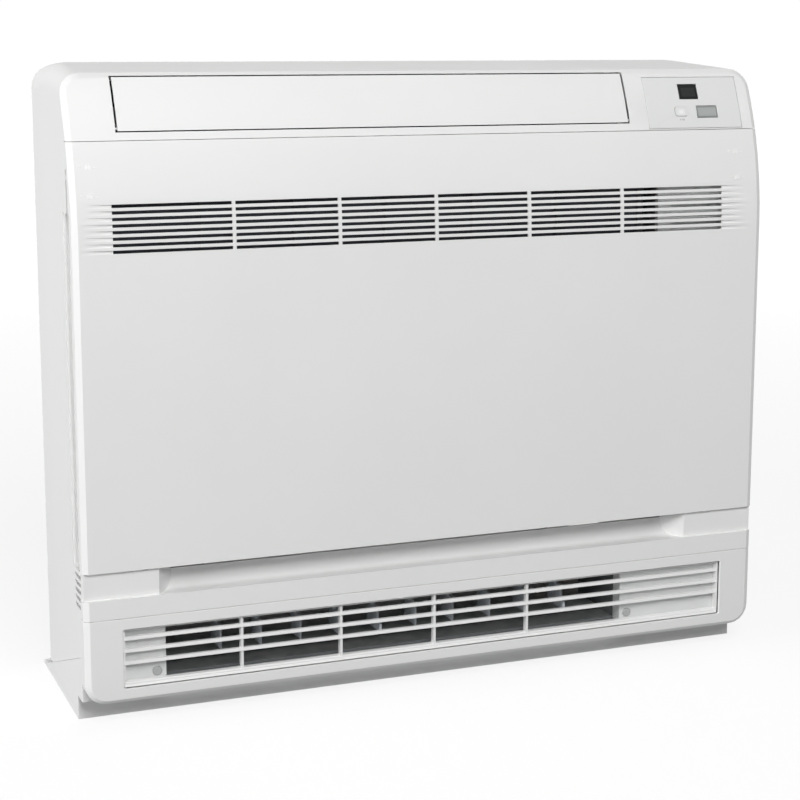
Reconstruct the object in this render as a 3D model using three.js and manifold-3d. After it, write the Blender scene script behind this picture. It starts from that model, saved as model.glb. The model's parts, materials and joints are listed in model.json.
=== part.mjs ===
// A floor standing console air conditioner: moulded casings round a filter, an evaporator, a centrifugal
// fan, and an air outlet above and below. Millimetres, +Z up, front towards -Y, origin under the middle.
import * as THREE from "three";
import { mergeVertices } from "three/addons/utils/BufferGeometryUtils.js";
import Module from "manifold-3d";

const wasm = await Module();
wasm.setup();

// ---- Driving dimensions ----
const WIDTH = 700;
const HEIGHT = 600;
const DEPTH = 215;
const WALL = 2.6; // moulded casing wall
const GAP = 0.35; // between pieces that lie against each other
const SEAM = 0.5; // shown between casings that meet on the face

const LEFT = -WIDTH / 2;
const RIGHT = WIDTH / 2;
const FRONT = -DEPTH / 2;
const BACK = DEPTH / 2;
const BEYOND = WIDTH; // reach of a cutting block that passes right through
const LEAN_START = HEIGHT - 160; // height where the face starts to lean back
const LEAN_RADIUS = 325;
const FRONT_TOP = HEIGHT - 9; // top of the face, in front of the sloping lid
const CORNER_RADIUS = 19; // upper corners, seen from the front
const REAR_CORNER = 23; // the same corners at the back of the front case
const FOOT_RADIUS = 20; // lower corners, seen from the front
const BAND_WIDTH = 5.2; // bevelled band round the face
const BAND_DEPTH = 3.1;
const BAND_RISE = 3.4; // the band's slope over the top of the face
const ARC_STEPS = 5;

const REAR_JOIN = BACK - 66.5; // front case meets rear case
const SIDE_INSET = 2; // case sides stand in from the base by this
const SIDE_WALL = 7; // case side, as deep as its air channel and its wall
const REAR_TAPER = 7; // base narrows by this on each side, front to back
const RIDGE_STEP = 2.2;
const RIDGE_PITCH = 21;
const BACK_ROUND = 5;

const BASE_FRONT = FRONT + 37.5; // the plinth stands back under the nose
const BASE_WALL = 3;
const PAD_RADIUS = 9; // feet pads inside the base
const PAD_RISE = 2;
const NOSE_BOTTOM = 23;
const NOSE_BACK = FRONT + 16; // rear edge of the lower fascia's sides
const WING_FRONT_Z = 66;
const WING_REAR_Z = 4;
const WING_REAR_Y = BACK - 13.5;
const FASCIA_TOP = 103;
const STRIP_TOP = 122; // flush strip, then the recessed blocks
const PANEL_BOTTOM = 147;
const PANEL_TOP = HEIGHT - 67;
const RETURN_DEPTH = 9.5; // side returns of the panel, measured back from the face
const FRAME_SETBACK = 10.5; // frame behind the panel, measured back from the face
const BLOCK_RECESS = 3.1;
const PANEL_RIB = 5; // depth of the stiffening ribs on the panel's back

const INTAKE_TOP = HEIGHT - 121.5;
const INTAKE_SLOTS = 8;
const INTAKE_PITCH = 5.73;
const INTAKE_SLOT = 3;
const INTAKE_LEFT = LEFT + 36.5;
const INTAKE_RIGHT = RIGHT - 45;
const INTAKE_RIBS = [0.18, 0.344, 0.5, 0.656, 0.818]; // shares of the intake's width
const INTAKE_RIB = 3;
const INTAKE_FADE = 30; // the slots run on as fading grooves
const INTAKE_GROOVE = 1.8;

const RECESS_LEFT = LEFT + 68; // finger recess under the panel
const RECESS_RIGHT = RIGHT - 75;
const RECESS_BACK = FRONT + 23.5;
const RECESS_FLARE = 20; // its ends slant inwards
const RECESS_FLOOR_RISE = 15; // its concave floor climbs to the back wall
const RECESS_CURVE = 6; // nearly level in front, steep at the back
const RECESS_STEPS = 8;
const RECESS_LIP = PANEL_BOTTOM - 7.5; // top of its back wall, under the low air gap

const LOUVER_LEFT = LEFT + 47;
const LOUVER_RIGHT = RIGHT - 145;
const LOUVER_BOTTOM = HEIGHT - 58.5;
const LOUVER_TOP = HEIGHT - 12;
const LOUVER_WALL = 2.4;
const LOUVER_AXIS = { y: FRONT + 20.1, z: LOUVER_BOTTOM + 1.9 };
const LOUVER_GAP = 1.1;
const LOUVER_PIN = 1; // radius
const LOUVER_SWEEP = 4.7; // radius that its lower edge needs round the axis
const LOUVER_END_GAP = 2.1;
const LOUVER_PIN_REACH = 4.6;
const LOUVER_RIBS = 4;
const NOZZLE_WALL = 2;
const NOZZLE_EAR = 0.8; // how far its bored ears stand outwards
const NOZZLE_BAYS = 6;
const NOZZLE_GUIDE = 1.8;

const CONTROL_LEFT = RIGHT - 122; // insert that holds the display and the key
const CONTROL_RIGHT = RIGHT - 17;
const CONTROL_BOTTOM = HEIGHT - 65;
const CONTROL_TOP = HEIGHT - 16;
const CONTROL_WALL = 2;
const DISPLAY = { x: CONTROL_LEFT + 49.5, z: HEIGHT - 30, width: 21, height: 14 };
const RECEIVER = { x: CONTROL_LEFT + 67.5, z: HEIGHT - 49.5, width: 23, height: 11 };
const KEY = { x: CONTROL_LEFT + 38, z: HEIGHT - 49, width: 13.5, height: 9, radius: 2.4, travel: 1.2, stem: 3 };

const OUTLET_HALF = RIGHT - 35.6; // lower air outlet
const OUTLET_BOTTOM = 36.5;
const OUTLET_TOP = 92.7;
const OUTLET_BARS = 3;
const OUTLET_TOP_BAR = 82.9;
const OUTLET_PITCH = 11.6;
const OUTLET_BAR = 3;
const OUTLET_POSTS = [-0.636, -0.321, -0.013, 0.305]; // shares of the outlet's half width
const OUTLET_POST = 2.4;
const GRILLE_FRONT = FRONT + 3.1;
const GRILLE_DEPTH = 4.4;
const MOUTH_LEFT = LEFT + 78; // open middle of the lower outlet, between its end plates
const MOUTH_RIGHT = RIGHT - 147;
const END_PLATE_FRONT = FRONT + 10;
const END_PLATE = 2.2;
const END_LIP = 14; // how far an end plate's edge turns back beside the vanes
const CAP_RADIUS = 4.5;
const CAP_OFFSET = 8.5; // from the mouth's side to the middle of a screw cap
const CAP_Z = 47;

const VANES = 10;
const VANES_IN_SET = 5;
const VANE_PITCH = (MOUTH_RIGHT - MOUTH_LEFT) / 12;
const VANE_CENTRE = (MOUTH_LEFT + MOUTH_RIGHT) / 2 - 4.5;
const VANE_AXIS_Y = FRONT + 28.5;
const VANE_FRONT = 14.5; // reach in front of the axis
const VANE_REAR = 15;
const VANE_CLEARANCE = 19; // under the vanes, where the duct stays open
const VANE_THICK = 1.6;
const VANE_PIN = 1.6; // radius
const VANE_CRANK = 11; // from the axis back to the crank pin
const CRANK_PIN = 1.2; // radius
const TIE_THICK = 2;
const TIE_HALF = 3;

const HINGE = { y: FRONT + 2.6, z: PANEL_BOTTOM + 0.2, pin: 1.2, lug: RIGHT - 54, reach: 3.4 };
const LATCH = { top: HEIGHT - 92, length: 12, front: FRONT + 18.4, rear: FRONT + 23.5 };
const CHANNEL_DEPTH = 5; // air channel in the case side, behind the panel
const CHANNEL_TOP = HEIGHT - 130;
const CHANNEL_FRONT = FRONT + 12.9;
const CHANNEL_BACK = FRONT + 37.5;
const CHANNEL_RIBS = 5;
const CHANNEL_RIB_PITCH = 7;

const COIL = {
  left: LEFT + 32, right: RIGHT - 138, bottom: PANEL_BOTTOM + 21, top: HEIGHT - 102,
  front: FRONT + 20.5, back: FRONT + 44.5,
};
const FIN_PITCH = 11;
const FIN_THICK = 1.2;
const TUBE_RADIUS = 3.5;
const TUBE_ROWS = 12;
const PARTITION = { front: COIL.back + 6, back: COIL.back + 8.5 };
const FAN = {
  x: (COIL.left + COIL.right) / 2 + 3, z: (COIL.bottom + COIL.top) / 2 - 11,
  radius: 150, front: PARTITION.back + 8.5, back: BACK - 77.5, blades: 9, bore: 112,
};
const MOTOR = { radius: 52, front: FAN.back + 8, back: BACK - 23.5 };
const SHAFT_RADIUS = 4;
const WINDOW = {
  left: LEFT + 28, right: RIGHT - 128, bottom: PANEL_BOTTOM + 9, top: HEIGHT - 94,
  front: FRONT + FRAME_SETBACK, back: FRONT + FRAME_SETBACK + WALL,
};
const FILTER = { front: WINDOW.back + 0.8, back: WINDOW.back + 4, columns: 6, rows: 3, rim: 4, bar: 3 };
const DOOR = { y: FRONT + 87.5, z: 44, reach: 38, pin: 1.6 };
const BOX = {
  left: RIGHT - 110, right: RIGHT - 16, bottom: PANEL_BOTTOM + 39, top: HEIGHT - 100,
  front: FRONT + 19.5, back: FRONT + 77.5, wall: 2,
};
const SWITCH = { x: RIGHT - 60, z: HEIGHT - 200 };
const PIPES = { x: RIGHT - 82, z: 64, hole: 30, spread: 12, gas: 6.4, liquid: 3.2, start: BACK - 87.5 };
const KEYHOLE = { x: 220, z: HEIGHT - 80, radius: 6, slot: 2.6, rise: 16 };

// ---- Colours ----
const WHITE = 0xf1f1ee;
const GREY_WHITE = 0xe4e5e3;
const GREY = 0xa9adad;
const DARK = 0x2a2d33;
const GLASS_BLACK = 0x0d0f10;
const SMOKE = 0x9a9f9e;
const ALUMINIUM = 0xc9ced1;
const COPPER = 0xb8724a;
const STEEL = 0xb4b8ba;
const BRASS = 0xb99a4c;
const GREEN = 0x2f6b45;

// ---- Solids ----
function solid(geometry) {
  const loose = geometry.index ? geometry.toNonIndexed() : geometry;
  const bare = new THREE.BufferGeometry();
  bare.setAttribute("position", loose.getAttribute("position"));
  const welded = mergeVertices(bare, 1e-4);
  const corners = welded.index.array;
  const kept = [];
  for (let i = 0; i < corners.length; i += 3) {
    const [a, b, c] = corners.slice(i, i + 3);
    if (a !== b && b !== c && c !== a) kept.push(a, b, c);
  }
  return new wasm.Manifold(
    new wasm.Mesh({
      numProp: 3,
      vertProperties: welded.attributes.position.array,
      triVerts: new Uint32Array(kept),
    }),
  );
}

function join(...solids) {
  return solids.flat().reduce((sum, next) => sum.add(next));
}

function cut(body, ...tools) {
  return body.subtract(join(...tools));
}

function box(x0, x1, y0, y1, z0, z1) {
  const shape = new THREE.BoxGeometry(x1 - x0, y1 - y0, z1 - z0);
  return solid(shape.translate((x0 + x1) / 2, (y0 + y1) / 2, (z0 + z1) / 2));
}

function asShape(outline) {
  if (outline instanceof THREE.Shape) return outline;
  return new THREE.Shape(outline.map(([u, v]) => new THREE.Vector2(u, v)));
}

function extrusion(outline, depth, curveSegments = 6) {
  return new THREE.ExtrudeGeometry(asShape(outline), { depth, bevelEnabled: false, curveSegments });
}

// A side profile of (y, z) points, swept from x0 to x1.
function sweepX(outline, x0, x1) {
  const turn = new THREE.Matrix4().makeBasis(
    new THREE.Vector3(0, 1, 0),
    new THREE.Vector3(0, 0, 1),
    new THREE.Vector3(1, 0, 0),
  );
  return solid(extrusion(outline, x1 - x0).applyMatrix4(turn).translate(x0, 0, 0));
}

// A front outline of (x, z) points, swept from y0 to y1.
function sweepY(outline, y0, y1) {
  return solid(extrusion(outline, y1 - y0).rotateX(Math.PI / 2).translate(0, y1, 0));
}

// A plan of (x, y) points, swept from z0 to z1.
function sweepZ(outline, z0, z1) {
  return solid(extrusion(outline, z1 - z0).translate(0, 0, z0));
}

function rodX(y, z, radius, x0, x1, sides = 10) {
  const rod = new THREE.CylinderGeometry(radius, radius, x1 - x0, sides);
  return solid(rod.rotateZ(Math.PI / 2).translate((x0 + x1) / 2, y, z));
}

function rodY(x, z, radius, y0, y1, sides = 12) {
  const rod = new THREE.CylinderGeometry(radius, radius, y1 - y0, sides);
  return solid(rod.translate(x, (y0 + y1) / 2, z));
}

function rodZ(x, y, radius, z0, z1, sides = 10) {
  const rod = new THREE.CylinderGeometry(radius, radius, z1 - z0, sides);
  return solid(rod.rotateX(Math.PI / 2).translate(x, y, (z0 + z1) / 2));
}

// A turned piece whose axis runs along Y through (x, z); its profile holds (radius, y) points.
function turned(profile, x, z, sides = 24) {
  const points = profile.map(([radius, along]) => new THREE.Vector2(radius, along));
  if (points[0].x > 0 || points.at(-1).x > 0) points.push(points[0].clone());
  if (THREE.ShapeUtils.area(points) < 0) points.reverse();
  return solid(new THREE.LatheGeometry(points, sides).translate(x, 0, z));
}

// A round tube along a path of points.
function tube(points, radius, sides = 8, steps = 16) {
  const circle = new THREE.Shape();
  circle.absarc(0, 0, radius, 0, Math.PI * 2);
  const path = new THREE.CatmullRomCurve3(
    points.map(([x, y, z]) => new THREE.Vector3(x, y, z)),
    false,
    "centripetal",
  );
  return solid(
    new THREE.ExtrudeGeometry(circle, { steps, extrudePath: path, curveSegments: sides / 2 }),
  );
}

function roundedRectangle(x0, x1, z0, z1, radius) {
  const shape = new THREE.Shape();
  shape.moveTo(x0 + radius, z0);
  shape.lineTo(x1 - radius, z0);
  shape.absarc(x1 - radius, z0 + radius, radius, -Math.PI / 2, 0);
  shape.lineTo(x1, z1 - radius);
  shape.absarc(x1 - radius, z1 - radius, radius, 0, Math.PI / 2);
  shape.lineTo(x0 + radius, z1);
  shape.absarc(x0 + radius, z1 - radius, radius, Math.PI / 2, Math.PI);
  shape.lineTo(x0, z0 + radius);
  shape.absarc(x0 + radius, z0 + radius, radius, Math.PI, Math.PI * 1.5);
  return shape;
}

// ---- The face and the casings lofted from it ----

// Depth of the outer face at a height: upright, then leaning back on a large arc.
function faceY(z) {
  const rise = Math.max(0, z - LEAN_START);
  return FRONT + LEAN_RADIUS - Math.sqrt(LEAN_RADIUS ** 2 - rise ** 2);
}

// How far the face is turned back from upright at a height, in radians.
function faceLean(z) {
  return Math.asin(Math.max(0, z - LEAN_START) / LEAN_RADIUS);
}

function cornerArc(points, x, z, radius, start) {
  if (radius === 0) {
    points.push([x, z]);
    return;
  }
  for (let i = 0; i <= ARC_STEPS; i++) {
    const angle = start + (i / ARC_STEPS) * (Math.PI / 2);
    points.push([x + radius * Math.cos(angle), z + radius * Math.sin(angle)]);
  }
}

// One ring seen from the front: up the right side, over the top and down the left side.
function ring({ half, bottom, top, foot = 0, head = 0, levels = [], y }) {
  const right = [];
  cornerArc(right, half - foot, bottom + foot, foot, -Math.PI / 2);
  for (const level of levels) right.push([half, level]);
  cornerArc(right, half - head, top - head, head, 0);
  const depth = typeof y === "function" ? y : () => y;
  return right.map(([x, z]) => [new THREE.Vector3(x, depth(z), z), new THREE.Vector3(-x, depth(z), z)]);
}

// A closed body through rings given from back to front, capped in level strips at both ends.
function loft(rings) {
  const loops = rings.map(ring);
  const positions = [];
  const face = (...corners) => {
    for (const corner of corners) positions.push(corner.x, corner.y, corner.z);
  };
  const quad = (a, b, c, d) => {
    face(a, b, c);
    face(a, c, d);
  };
  const last = loops[0].length - 1;
  for (let i = 0; i < last; i++) {
    const [r0, l0] = loops.at(-1)[i];
    const [r1, l1] = loops.at(-1)[i + 1];
    quad(l0, r0, r1, l1);
    const [s0, m0] = loops[0][i];
    const [s1, m1] = loops[0][i + 1];
    quad(m1, s1, s0, m0);
  }
  for (let k = 0; k + 1 < loops.length; k++) {
    for (let i = 0; i < last; i++) {
      quad(loops[k][i][0], loops[k][i + 1][0], loops[k + 1][i + 1][0], loops[k + 1][i][0]);
      quad(loops[k][i + 1][1], loops[k][i][1], loops[k + 1][i][1], loops[k + 1][i + 1][1]);
    }
    quad(loops[k][last][0], loops[k][last][1], loops[k + 1][last][1], loops[k + 1][last][0]);
    quad(loops[k][0][1], loops[k][0][0], loops[k + 1][0][0], loops[k + 1][0][1]);
  }
  const geometry = new THREE.BufferGeometry();
  geometry.setAttribute("position", new THREE.Float32BufferAttribute(positions, 3));
  return solid(geometry);
}

const FACE_LEVELS = [0, 22, 44, 66, 88, 110].map((rise) => LEAN_START + rise);

// The slab between the face moved back by `from` and the face moved back by `to`.
function behindFace(from, to, x0, x1, z0, z1) {
  const highest = [122, 134].map((rise) => LEAN_START + rise);
  const levels = [z0, ...FACE_LEVELS, ...highest].filter((z) => z >= z0 && z < z1);
  levels.push(z1);
  const frontEdge = levels.map((z) => [faceY(z) + from, z]);
  const backEdge = levels.map((z) => [faceY(z) + to, z]).reverse();
  return sweepX([...frontEdge, ...backEdge], x0, x1);
}

// A body made round the origin, turned to stand on the leaning face at x and a height.
function ontoFace(body, x, z) {
  return body.rotate([-THREE.MathUtils.radToDeg(faceLean(z)), 0, 0]).translate([x, faceY(z), z]);
}

// ---- The assembly ----
const airConditioner = new THREE.Group();

function piece(name, body, color, roughness = 0.5, metalness = 0) {
  const { vertProperties, triVerts } = body.getMesh();
  const indexed = new THREE.BufferGeometry();
  indexed.setAttribute("position", new THREE.BufferAttribute(vertProperties, 3));
  indexed.setIndex(new THREE.BufferAttribute(triVerts, 1));
  const geometry = indexed.toNonIndexed();
  geometry.computeVertexNormals();
  const mesh = new THREE.Mesh(
    geometry,
    new THREE.MeshStandardMaterial({ color, roughness, metalness }),
  );
  mesh.name = name;
  airConditioner.add(mesh);
}

// ---- Casings ----
const caseHalf = RIGHT - SIDE_INSET;

// Half width of the base's plan at a depth: full width at the front, narrower at the back.
function planHalf(y) {
  const share = (y - NOSE_BACK) / (BACK - NOSE_BACK);
  return RIGHT - REAR_TAPER * Math.min(1, Math.max(0, share));
}

const WING_SLOPE = (WING_REAR_Z - WING_FRONT_Z) / (WING_REAR_Y - NOSE_BACK);

// Height of the wing's top edge at a depth.
const wingZ = (y) => Math.max(WING_REAR_Z, WING_FRONT_Z + WING_SLOPE * (y - NOSE_BACK));

// Side profile of the base: the plinth, and the wing whose top slopes down to the back.
function baseProfile(front) {
  return [
    [BASE_FRONT, 0],
    [BACK, 0],
    [BACK, WING_REAR_Z],
    [WING_REAR_Y, WING_REAR_Z],
    [front, WING_FRONT_Z],
    [front, NOSE_BOTTOM],
    [BASE_FRONT, NOSE_BOTTOM],
  ];
}

function makeBase() {
  const start = NOSE_BACK + GAP;
  const plan = [
    [LEFT, start],
    [RIGHT, start],
    [planHalf(BACK), BACK],
    [-planHalf(BACK), BACK],
  ];
  const body = sweepX(baseProfile(start), LEFT, RIGHT).intersect(sweepZ(plan, 0, BEYOND));
  const half = planHalf(BACK) - BASE_WALL;
  const above = WING_FRONT_Z + 1;
  const inside = box(-half, half, BASE_FRONT + BASE_WALL, BACK - BASE_WALL, BASE_WALL, above);
  const front = box(-half, half, start - 1, BASE_FRONT + BASE_WALL + 1, NOSE_BOTTOM - 1, above);
  const pads = [-1, 1].flatMap((side) =>
    [BASE_FRONT + 20, BACK - 27.5].map((y) =>
      rodZ(side * (RIGHT - 50), y, PAD_RADIUS, BASE_WALL - 0.5, BASE_WALL + PAD_RISE),
    ),
  );
  piece("base_pan", join(cut(body, inside, front), ...pads), WHITE);
}

function makeFrontCase() {
  const side = { bottom: WING_REAR_Z, levels: FACE_LEVELS };
  const shoulder = REAR_JOIN - 15; // from here forwards the lid slopes down
  const outer = loft([
    { ...side, half: caseHalf - 5, top: HEIGHT, head: REAR_CORNER, y: REAR_JOIN },
    { ...side, half: caseHalf - 4.4, top: HEIGHT - 0.6, head: REAR_CORNER, y: shoulder },
    { ...side, half: RIGHT, top: FRONT_TOP + 1, head: CORNER_RADIUS, y: (z) => faceY(z) + BAND_DEPTH },
    {
      ...side, half: RIGHT - BAND_WIDTH, top: FRONT_TOP - BAND_RISE, head: CORNER_RADIUS - BAND_WIDTH, y: faceY,
    },
  ]);
  const innerHalf = caseHalf - SIDE_WALL;
  const room = { bottom: 0, levels: FACE_LEVELS };
  const inner = loft([
    { ...room, half: innerHalf, top: HEIGHT - 3, head: REAR_CORNER - 3, y: REAR_JOIN + 1 },
    { ...room, half: innerHalf, top: HEIGHT - 3.4, head: REAR_CORNER - 3, y: shoulder },
    { ...room, half: innerHalf, top: FRONT_TOP - 3, head: 12, y: (z) => faceY(z) + BAND_DEPTH + 1 },
    { ...room, half: innerHalf - 3, top: FRONT_TOP - 6, head: 9, y: (z) => faceY(z) + WALL },
  ]);
  // The panel and its returns lie in front of this plane; the fascia fills the corner below.
  const bay = (depth, x0, x1) => behindFace(-60, depth, x0, x1, PANEL_BOTTOM, PANEL_TOP + SEAM);
  const panelBay = join(
    bay(RETURN_DEPTH + GAP, -BEYOND, BEYOND).subtract(bay(RETURN_DEPTH + 2, -innerHalf, innerHalf)),
    bay(WALL + 2, -innerHalf - 1, innerHalf + 1),
    behindFace(-60, RETURN_DEPTH + GAP, -BEYOND, BEYOND, PANEL_TOP - WALL - 2, PANEL_TOP + SEAM),
  );
  const fasciaBay = box(-BEYOND, BEYOND, -BEYOND, NOSE_BACK + GAP, -BEYOND, FASCIA_TOP + SEAM);
  const aboveBase = [
    [-BEYOND, -BEYOND],
    [BEYOND, -BEYOND],
    [BEYOND, WING_REAR_Z + GAP],
    [WING_REAR_Y, WING_REAR_Z + GAP],
    [-BEYOND, WING_FRONT_Z + GAP + (-BEYOND - NOSE_BACK) * WING_SLOPE],
  ];
  const baseBay = sweepX(aboveBase, -BEYOND, BEYOND);
  // Strip and blocks under the panel, with the finger recess between the blocks.
  const beamBack = RECESS_BACK + WALL;
  const beamFront = FRONT + BLOCK_RECESS;
  const beam = join(
    box(-innerHalf - 1, innerHalf + 1, beamFront, beamBack, FASCIA_TOP + SEAM, PANEL_BOTTOM - GAP),
    box(-innerHalf - 1, innerHalf + 1, FRONT + 1, beamFront + 1, FASCIA_TOP + SEAM, STRIP_TOP),
  );
  const blockFace = box(-BEYOND, BEYOND, FRONT - 1, beamFront, STRIP_TOP, PANEL_BOTTOM + 1);
  const blockSides = box(-RIGHT - 1, RIGHT + 1, FRONT - 1, FRONT + 17.5, STRIP_TOP, PANEL_BOTTOM + 1).subtract(
    box(-RIGHT + 1.2, RIGHT - 1.2, FRONT - 2, BACK, STRIP_TOP - 1, PANEL_BOTTOM + 2),
  );
  const recessPlan = [
    [RECESS_LEFT, FRONT - 1],
    [RECESS_RIGHT, FRONT - 1],
    [RECESS_RIGHT - RECESS_FLARE, RECESS_BACK],
    [RECESS_LEFT + RECESS_FLARE, RECESS_BACK],
  ];
  const recessFloor = [];
  for (let i = 0; i <= RECESS_STEPS; i++) {
    const along = i / RECESS_STEPS;
    recessFloor.push([FRONT + along * (RECESS_BACK + 1 - FRONT), STRIP_TOP + RECESS_FLOOR_RISE * along ** RECESS_CURVE]);
  }
  const recessSide = [
    [FRONT - 2, STRIP_TOP], ...recessFloor, [RECESS_BACK + 1, PANEL_BOTTOM + 2], [FRONT - 2, PANEL_BOTTOM + 2],
  ];
  const aboveBlocks = PANEL_BOTTOM + 13;
  const recess = sweepZ(recessPlan, FASCIA_TOP, aboveBlocks).intersect(sweepX(recessSide, -BEYOND, BEYOND));
  const airGap = box(
    RECESS_LEFT + RECESS_FLARE, RECESS_RIGHT - RECESS_FLARE, RECESS_BACK - 1, beamBack + 1, RECESS_LIP, aboveBlocks,
  );
  const hollow = box(
    -innerHalf + 4, innerHalf - 4, beamFront + WALL, beamBack + 1, FASCIA_TOP - 13, STRIP_TOP - WALL,
  );
  // The frame that the filter lies in, with a window for the coil and one for the electric box.
  const plate = behindFace(
    FRAME_SETBACK, FRAME_SETBACK + WALL, -innerHalf - 1, innerHalf + 1, PANEL_BOTTOM - 6, PANEL_TOP + 3,
  );
  const plateBack = FRONT + 27.5; // behind the plate also where it leans
  const coilWindow = box(WINDOW.left, WINDOW.right, FRONT, plateBack, WINDOW.bottom, WINDOW.top);
  const boxWindow = box(WINDOW.right - 1, BOX.right, FRONT, plateBack, BOX.bottom - 4, BOX.top + 4);
  const shelf = behindFace(WALL - 1, 11, -innerHalf - 1, innerHalf + 1, PANEL_TOP + SEAM, PANEL_TOP + SEAM + 2);
  // Upper outlet and the seat of the control insert.
  const mouthLeft = LOUVER_LEFT - LOUVER_END_GAP;
  const mouthRight = LOUVER_RIGHT + LOUVER_END_GAP;
  const outletMouth = behindFace(
    -4, 14, mouthLeft, mouthRight, LOUVER_BOTTOM - LOUVER_GAP, LOUVER_TOP + LOUVER_GAP,
  );
  const insertSeat = behindFace(
    -4, CONTROL_WALL + GAP, CONTROL_LEFT - GAP, CONTROL_RIGHT + GAP, CONTROL_BOTTOM - GAP, CONTROL_TOP + GAP,
  );
  const insertBack = behindFace(
    -4, 9.4, CONTROL_LEFT + 3, CONTROL_RIGHT - 3, CONTROL_BOTTOM + 4, CONTROL_TOP - 5,
  );
  const sillRelief = rodX(LOUVER_AXIS.y, LOUVER_AXIS.z, LOUVER_SWEEP, mouthLeft, mouthRight, 16);
  const pinRoom = behindFace(1.2, 40, -BEYOND, BEYOND, LOUVER_AXIS.z - 20, LOUVER_AXIS.z + 20);
  const pinPockets = [mouthLeft - 4.5, mouthRight - 0.5].map((x) =>
    box(x, x + 5, LOUVER_AXIS.y - 1.5, LOUVER_AXIS.y + 27, LOUVER_AXIS.z - 5, LOUVER_AXIS.z + 12).intersect(pinRoom),
  );
  // Air channels down both sides, closed at the foot by short ribs.
  const channels = [-1, 1].flatMap((side) => {
    const at = (depth, y0, y1, z0, z1) => {
      const outerX = RIGHT + 2;
      const innerX = caseHalf - depth;
      return side > 0 ? box(innerX, outerX, y0, y1, z0, z1) : box(-outerX, -innerX, y0, y1, z0, z1);
    };
    const slots = [];
    for (let i = 0; i < CHANNEL_RIBS; i++) {
      const z = PANEL_BOTTOM - 4 - i * CHANNEL_RIB_PITCH;
      slots.push(at(CHANNEL_DEPTH, CHANNEL_FRONT + 0.6, CHANNEL_BACK, z - 3.6, z));
    }
    return [
      at(CHANNEL_DEPTH - 1, FRONT + RETURN_DEPTH - 1, CHANNEL_FRONT, PANEL_BOTTOM, CHANNEL_TOP),
      at(CHANNEL_DEPTH, CHANNEL_BACK - 12, CHANNEL_BACK, PANEL_BOTTOM, CHANNEL_TOP),
      at(1, CHANNEL_FRONT, CHANNEL_BACK + 8, PANEL_BOTTOM, CHANNEL_TOP),
      at(CHANNEL_DEPTH + 0.5, LATCH.front - GAP, LATCH.rear + GAP, CHANNEL_TOP - 4, LATCH.top + 1),
      ...slots,
    ];
  });
  const shell = cut(outer, inner, panelBay);
  const framed = join(cut(shell, blockFace, blockSides), beam, plate, shelf);
  const body = cut(
    framed, fasciaBay, baseBay, recess, airGap, hollow, coilWindow, boxWindow, outletMouth, insertSeat,
    insertBack, sillRelief, ...pinPockets, ...channels,
  );
  // Half-round ears that the panel's hinge pins snap into.
  const ears = [-1, 1].map((side) => {
    const x = side * (HINGE.lug + 5);
    const block = box(x - 1.5, x + 1.5, beamFront + 0.2, beamFront + 6, PANEL_BOTTOM - 1, HINGE.z + 4);
    return cut(block, rodX(HINGE.y, HINGE.z, HINGE.pin + 0.15, x - 3, x + 3, 12));
  });
  const sockets = [-1, 1].map((side) =>
    rodX(HINGE.y, HINGE.z, HINGE.pin + 0.15, side * HINGE.lug - 8, side * HINGE.lug + 8, 12),
  );
  piece("front_case", join(cut(body, ...sockets), ...ears), WHITE);
}

function makeRearCase() {
  const rings = [];
  const inset = (k) => 5.6 + k * RIDGE_STEP;
  const add = (y, k) =>
    rings.push({
      half: caseHalf - inset(k), bottom: WING_REAR_Z, top: HEIGHT - 0.8 - k * 1.2, head: REAR_CORNER - k, y,
    });
  add(REAR_JOIN + SEAM, 0);
  add(REAR_JOIN + RIDGE_PITCH, 0.2);
  add(REAR_JOIN + RIDGE_PITCH + 1, 1);
  add(REAR_JOIN + 2 * RIDGE_PITCH, 1.2);
  add(REAR_JOIN + 2 * RIDGE_PITCH + 1, 2);
  add(BACK - BACK_ROUND, 2.2);
  const corner = REAR_CORNER - 6;
  rings.push({ half: caseHalf - inset(2.2) - 4, bottom: WING_REAR_Z, top: HEIGHT - 8, head: corner, y: BACK });
  const outer = loft(rings.reverse());
  const room = { half: caseHalf - inset(3.6), bottom: 0, top: HEIGHT - 6.6, head: corner };
  const inner = loft([{ ...room, y: BACK - WALL }, { ...room, y: REAR_JOIN - 1 }]);
  const joinZ = wingZ(REAR_JOIN - 2) + GAP;
  const aboveBase = [
    [-BEYOND, -BEYOND],
    [BEYOND, -BEYOND],
    [BEYOND, WING_REAR_Z + GAP],
    [WING_REAR_Y, WING_REAR_Z + GAP],
    [REAR_JOIN - 2, joinZ],
    [-BEYOND, joinZ],
  ];
  const baseBay = sweepX(aboveBase, -BEYOND, BEYOND);
  // Keyholes that hang the unit on its wall plate, and the knock-out for the pipes.
  const keyholes = [-KEYHOLE.x, KEYHOLE.x].flatMap((x) => [
    rodY(x, KEYHOLE.z, KEYHOLE.radius, BACK - 10, BACK + 1, 12),
    box(x - KEYHOLE.slot, x + KEYHOLE.slot, BACK - 10, BACK + 1, KEYHOLE.z, KEYHOLE.z + KEYHOLE.rise),
  ]);
  const pipeHole = rodY(PIPES.x, PIPES.z, PIPES.hole, BACK - 10, BACK + 1, 16);
  const ribs = [-210, -130, 130, 230].map((offset) => {
    const x = FAN.x + offset;
    return box(x - 1.2, x + 1.2, BACK - 9, BACK - WALL + 0.5, 60, COIL.top);
  });
  piece("rear_case", join(cut(outer, inner, baseBay, pipeHole, ...keyholes), ...ribs), WHITE);
}

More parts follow.
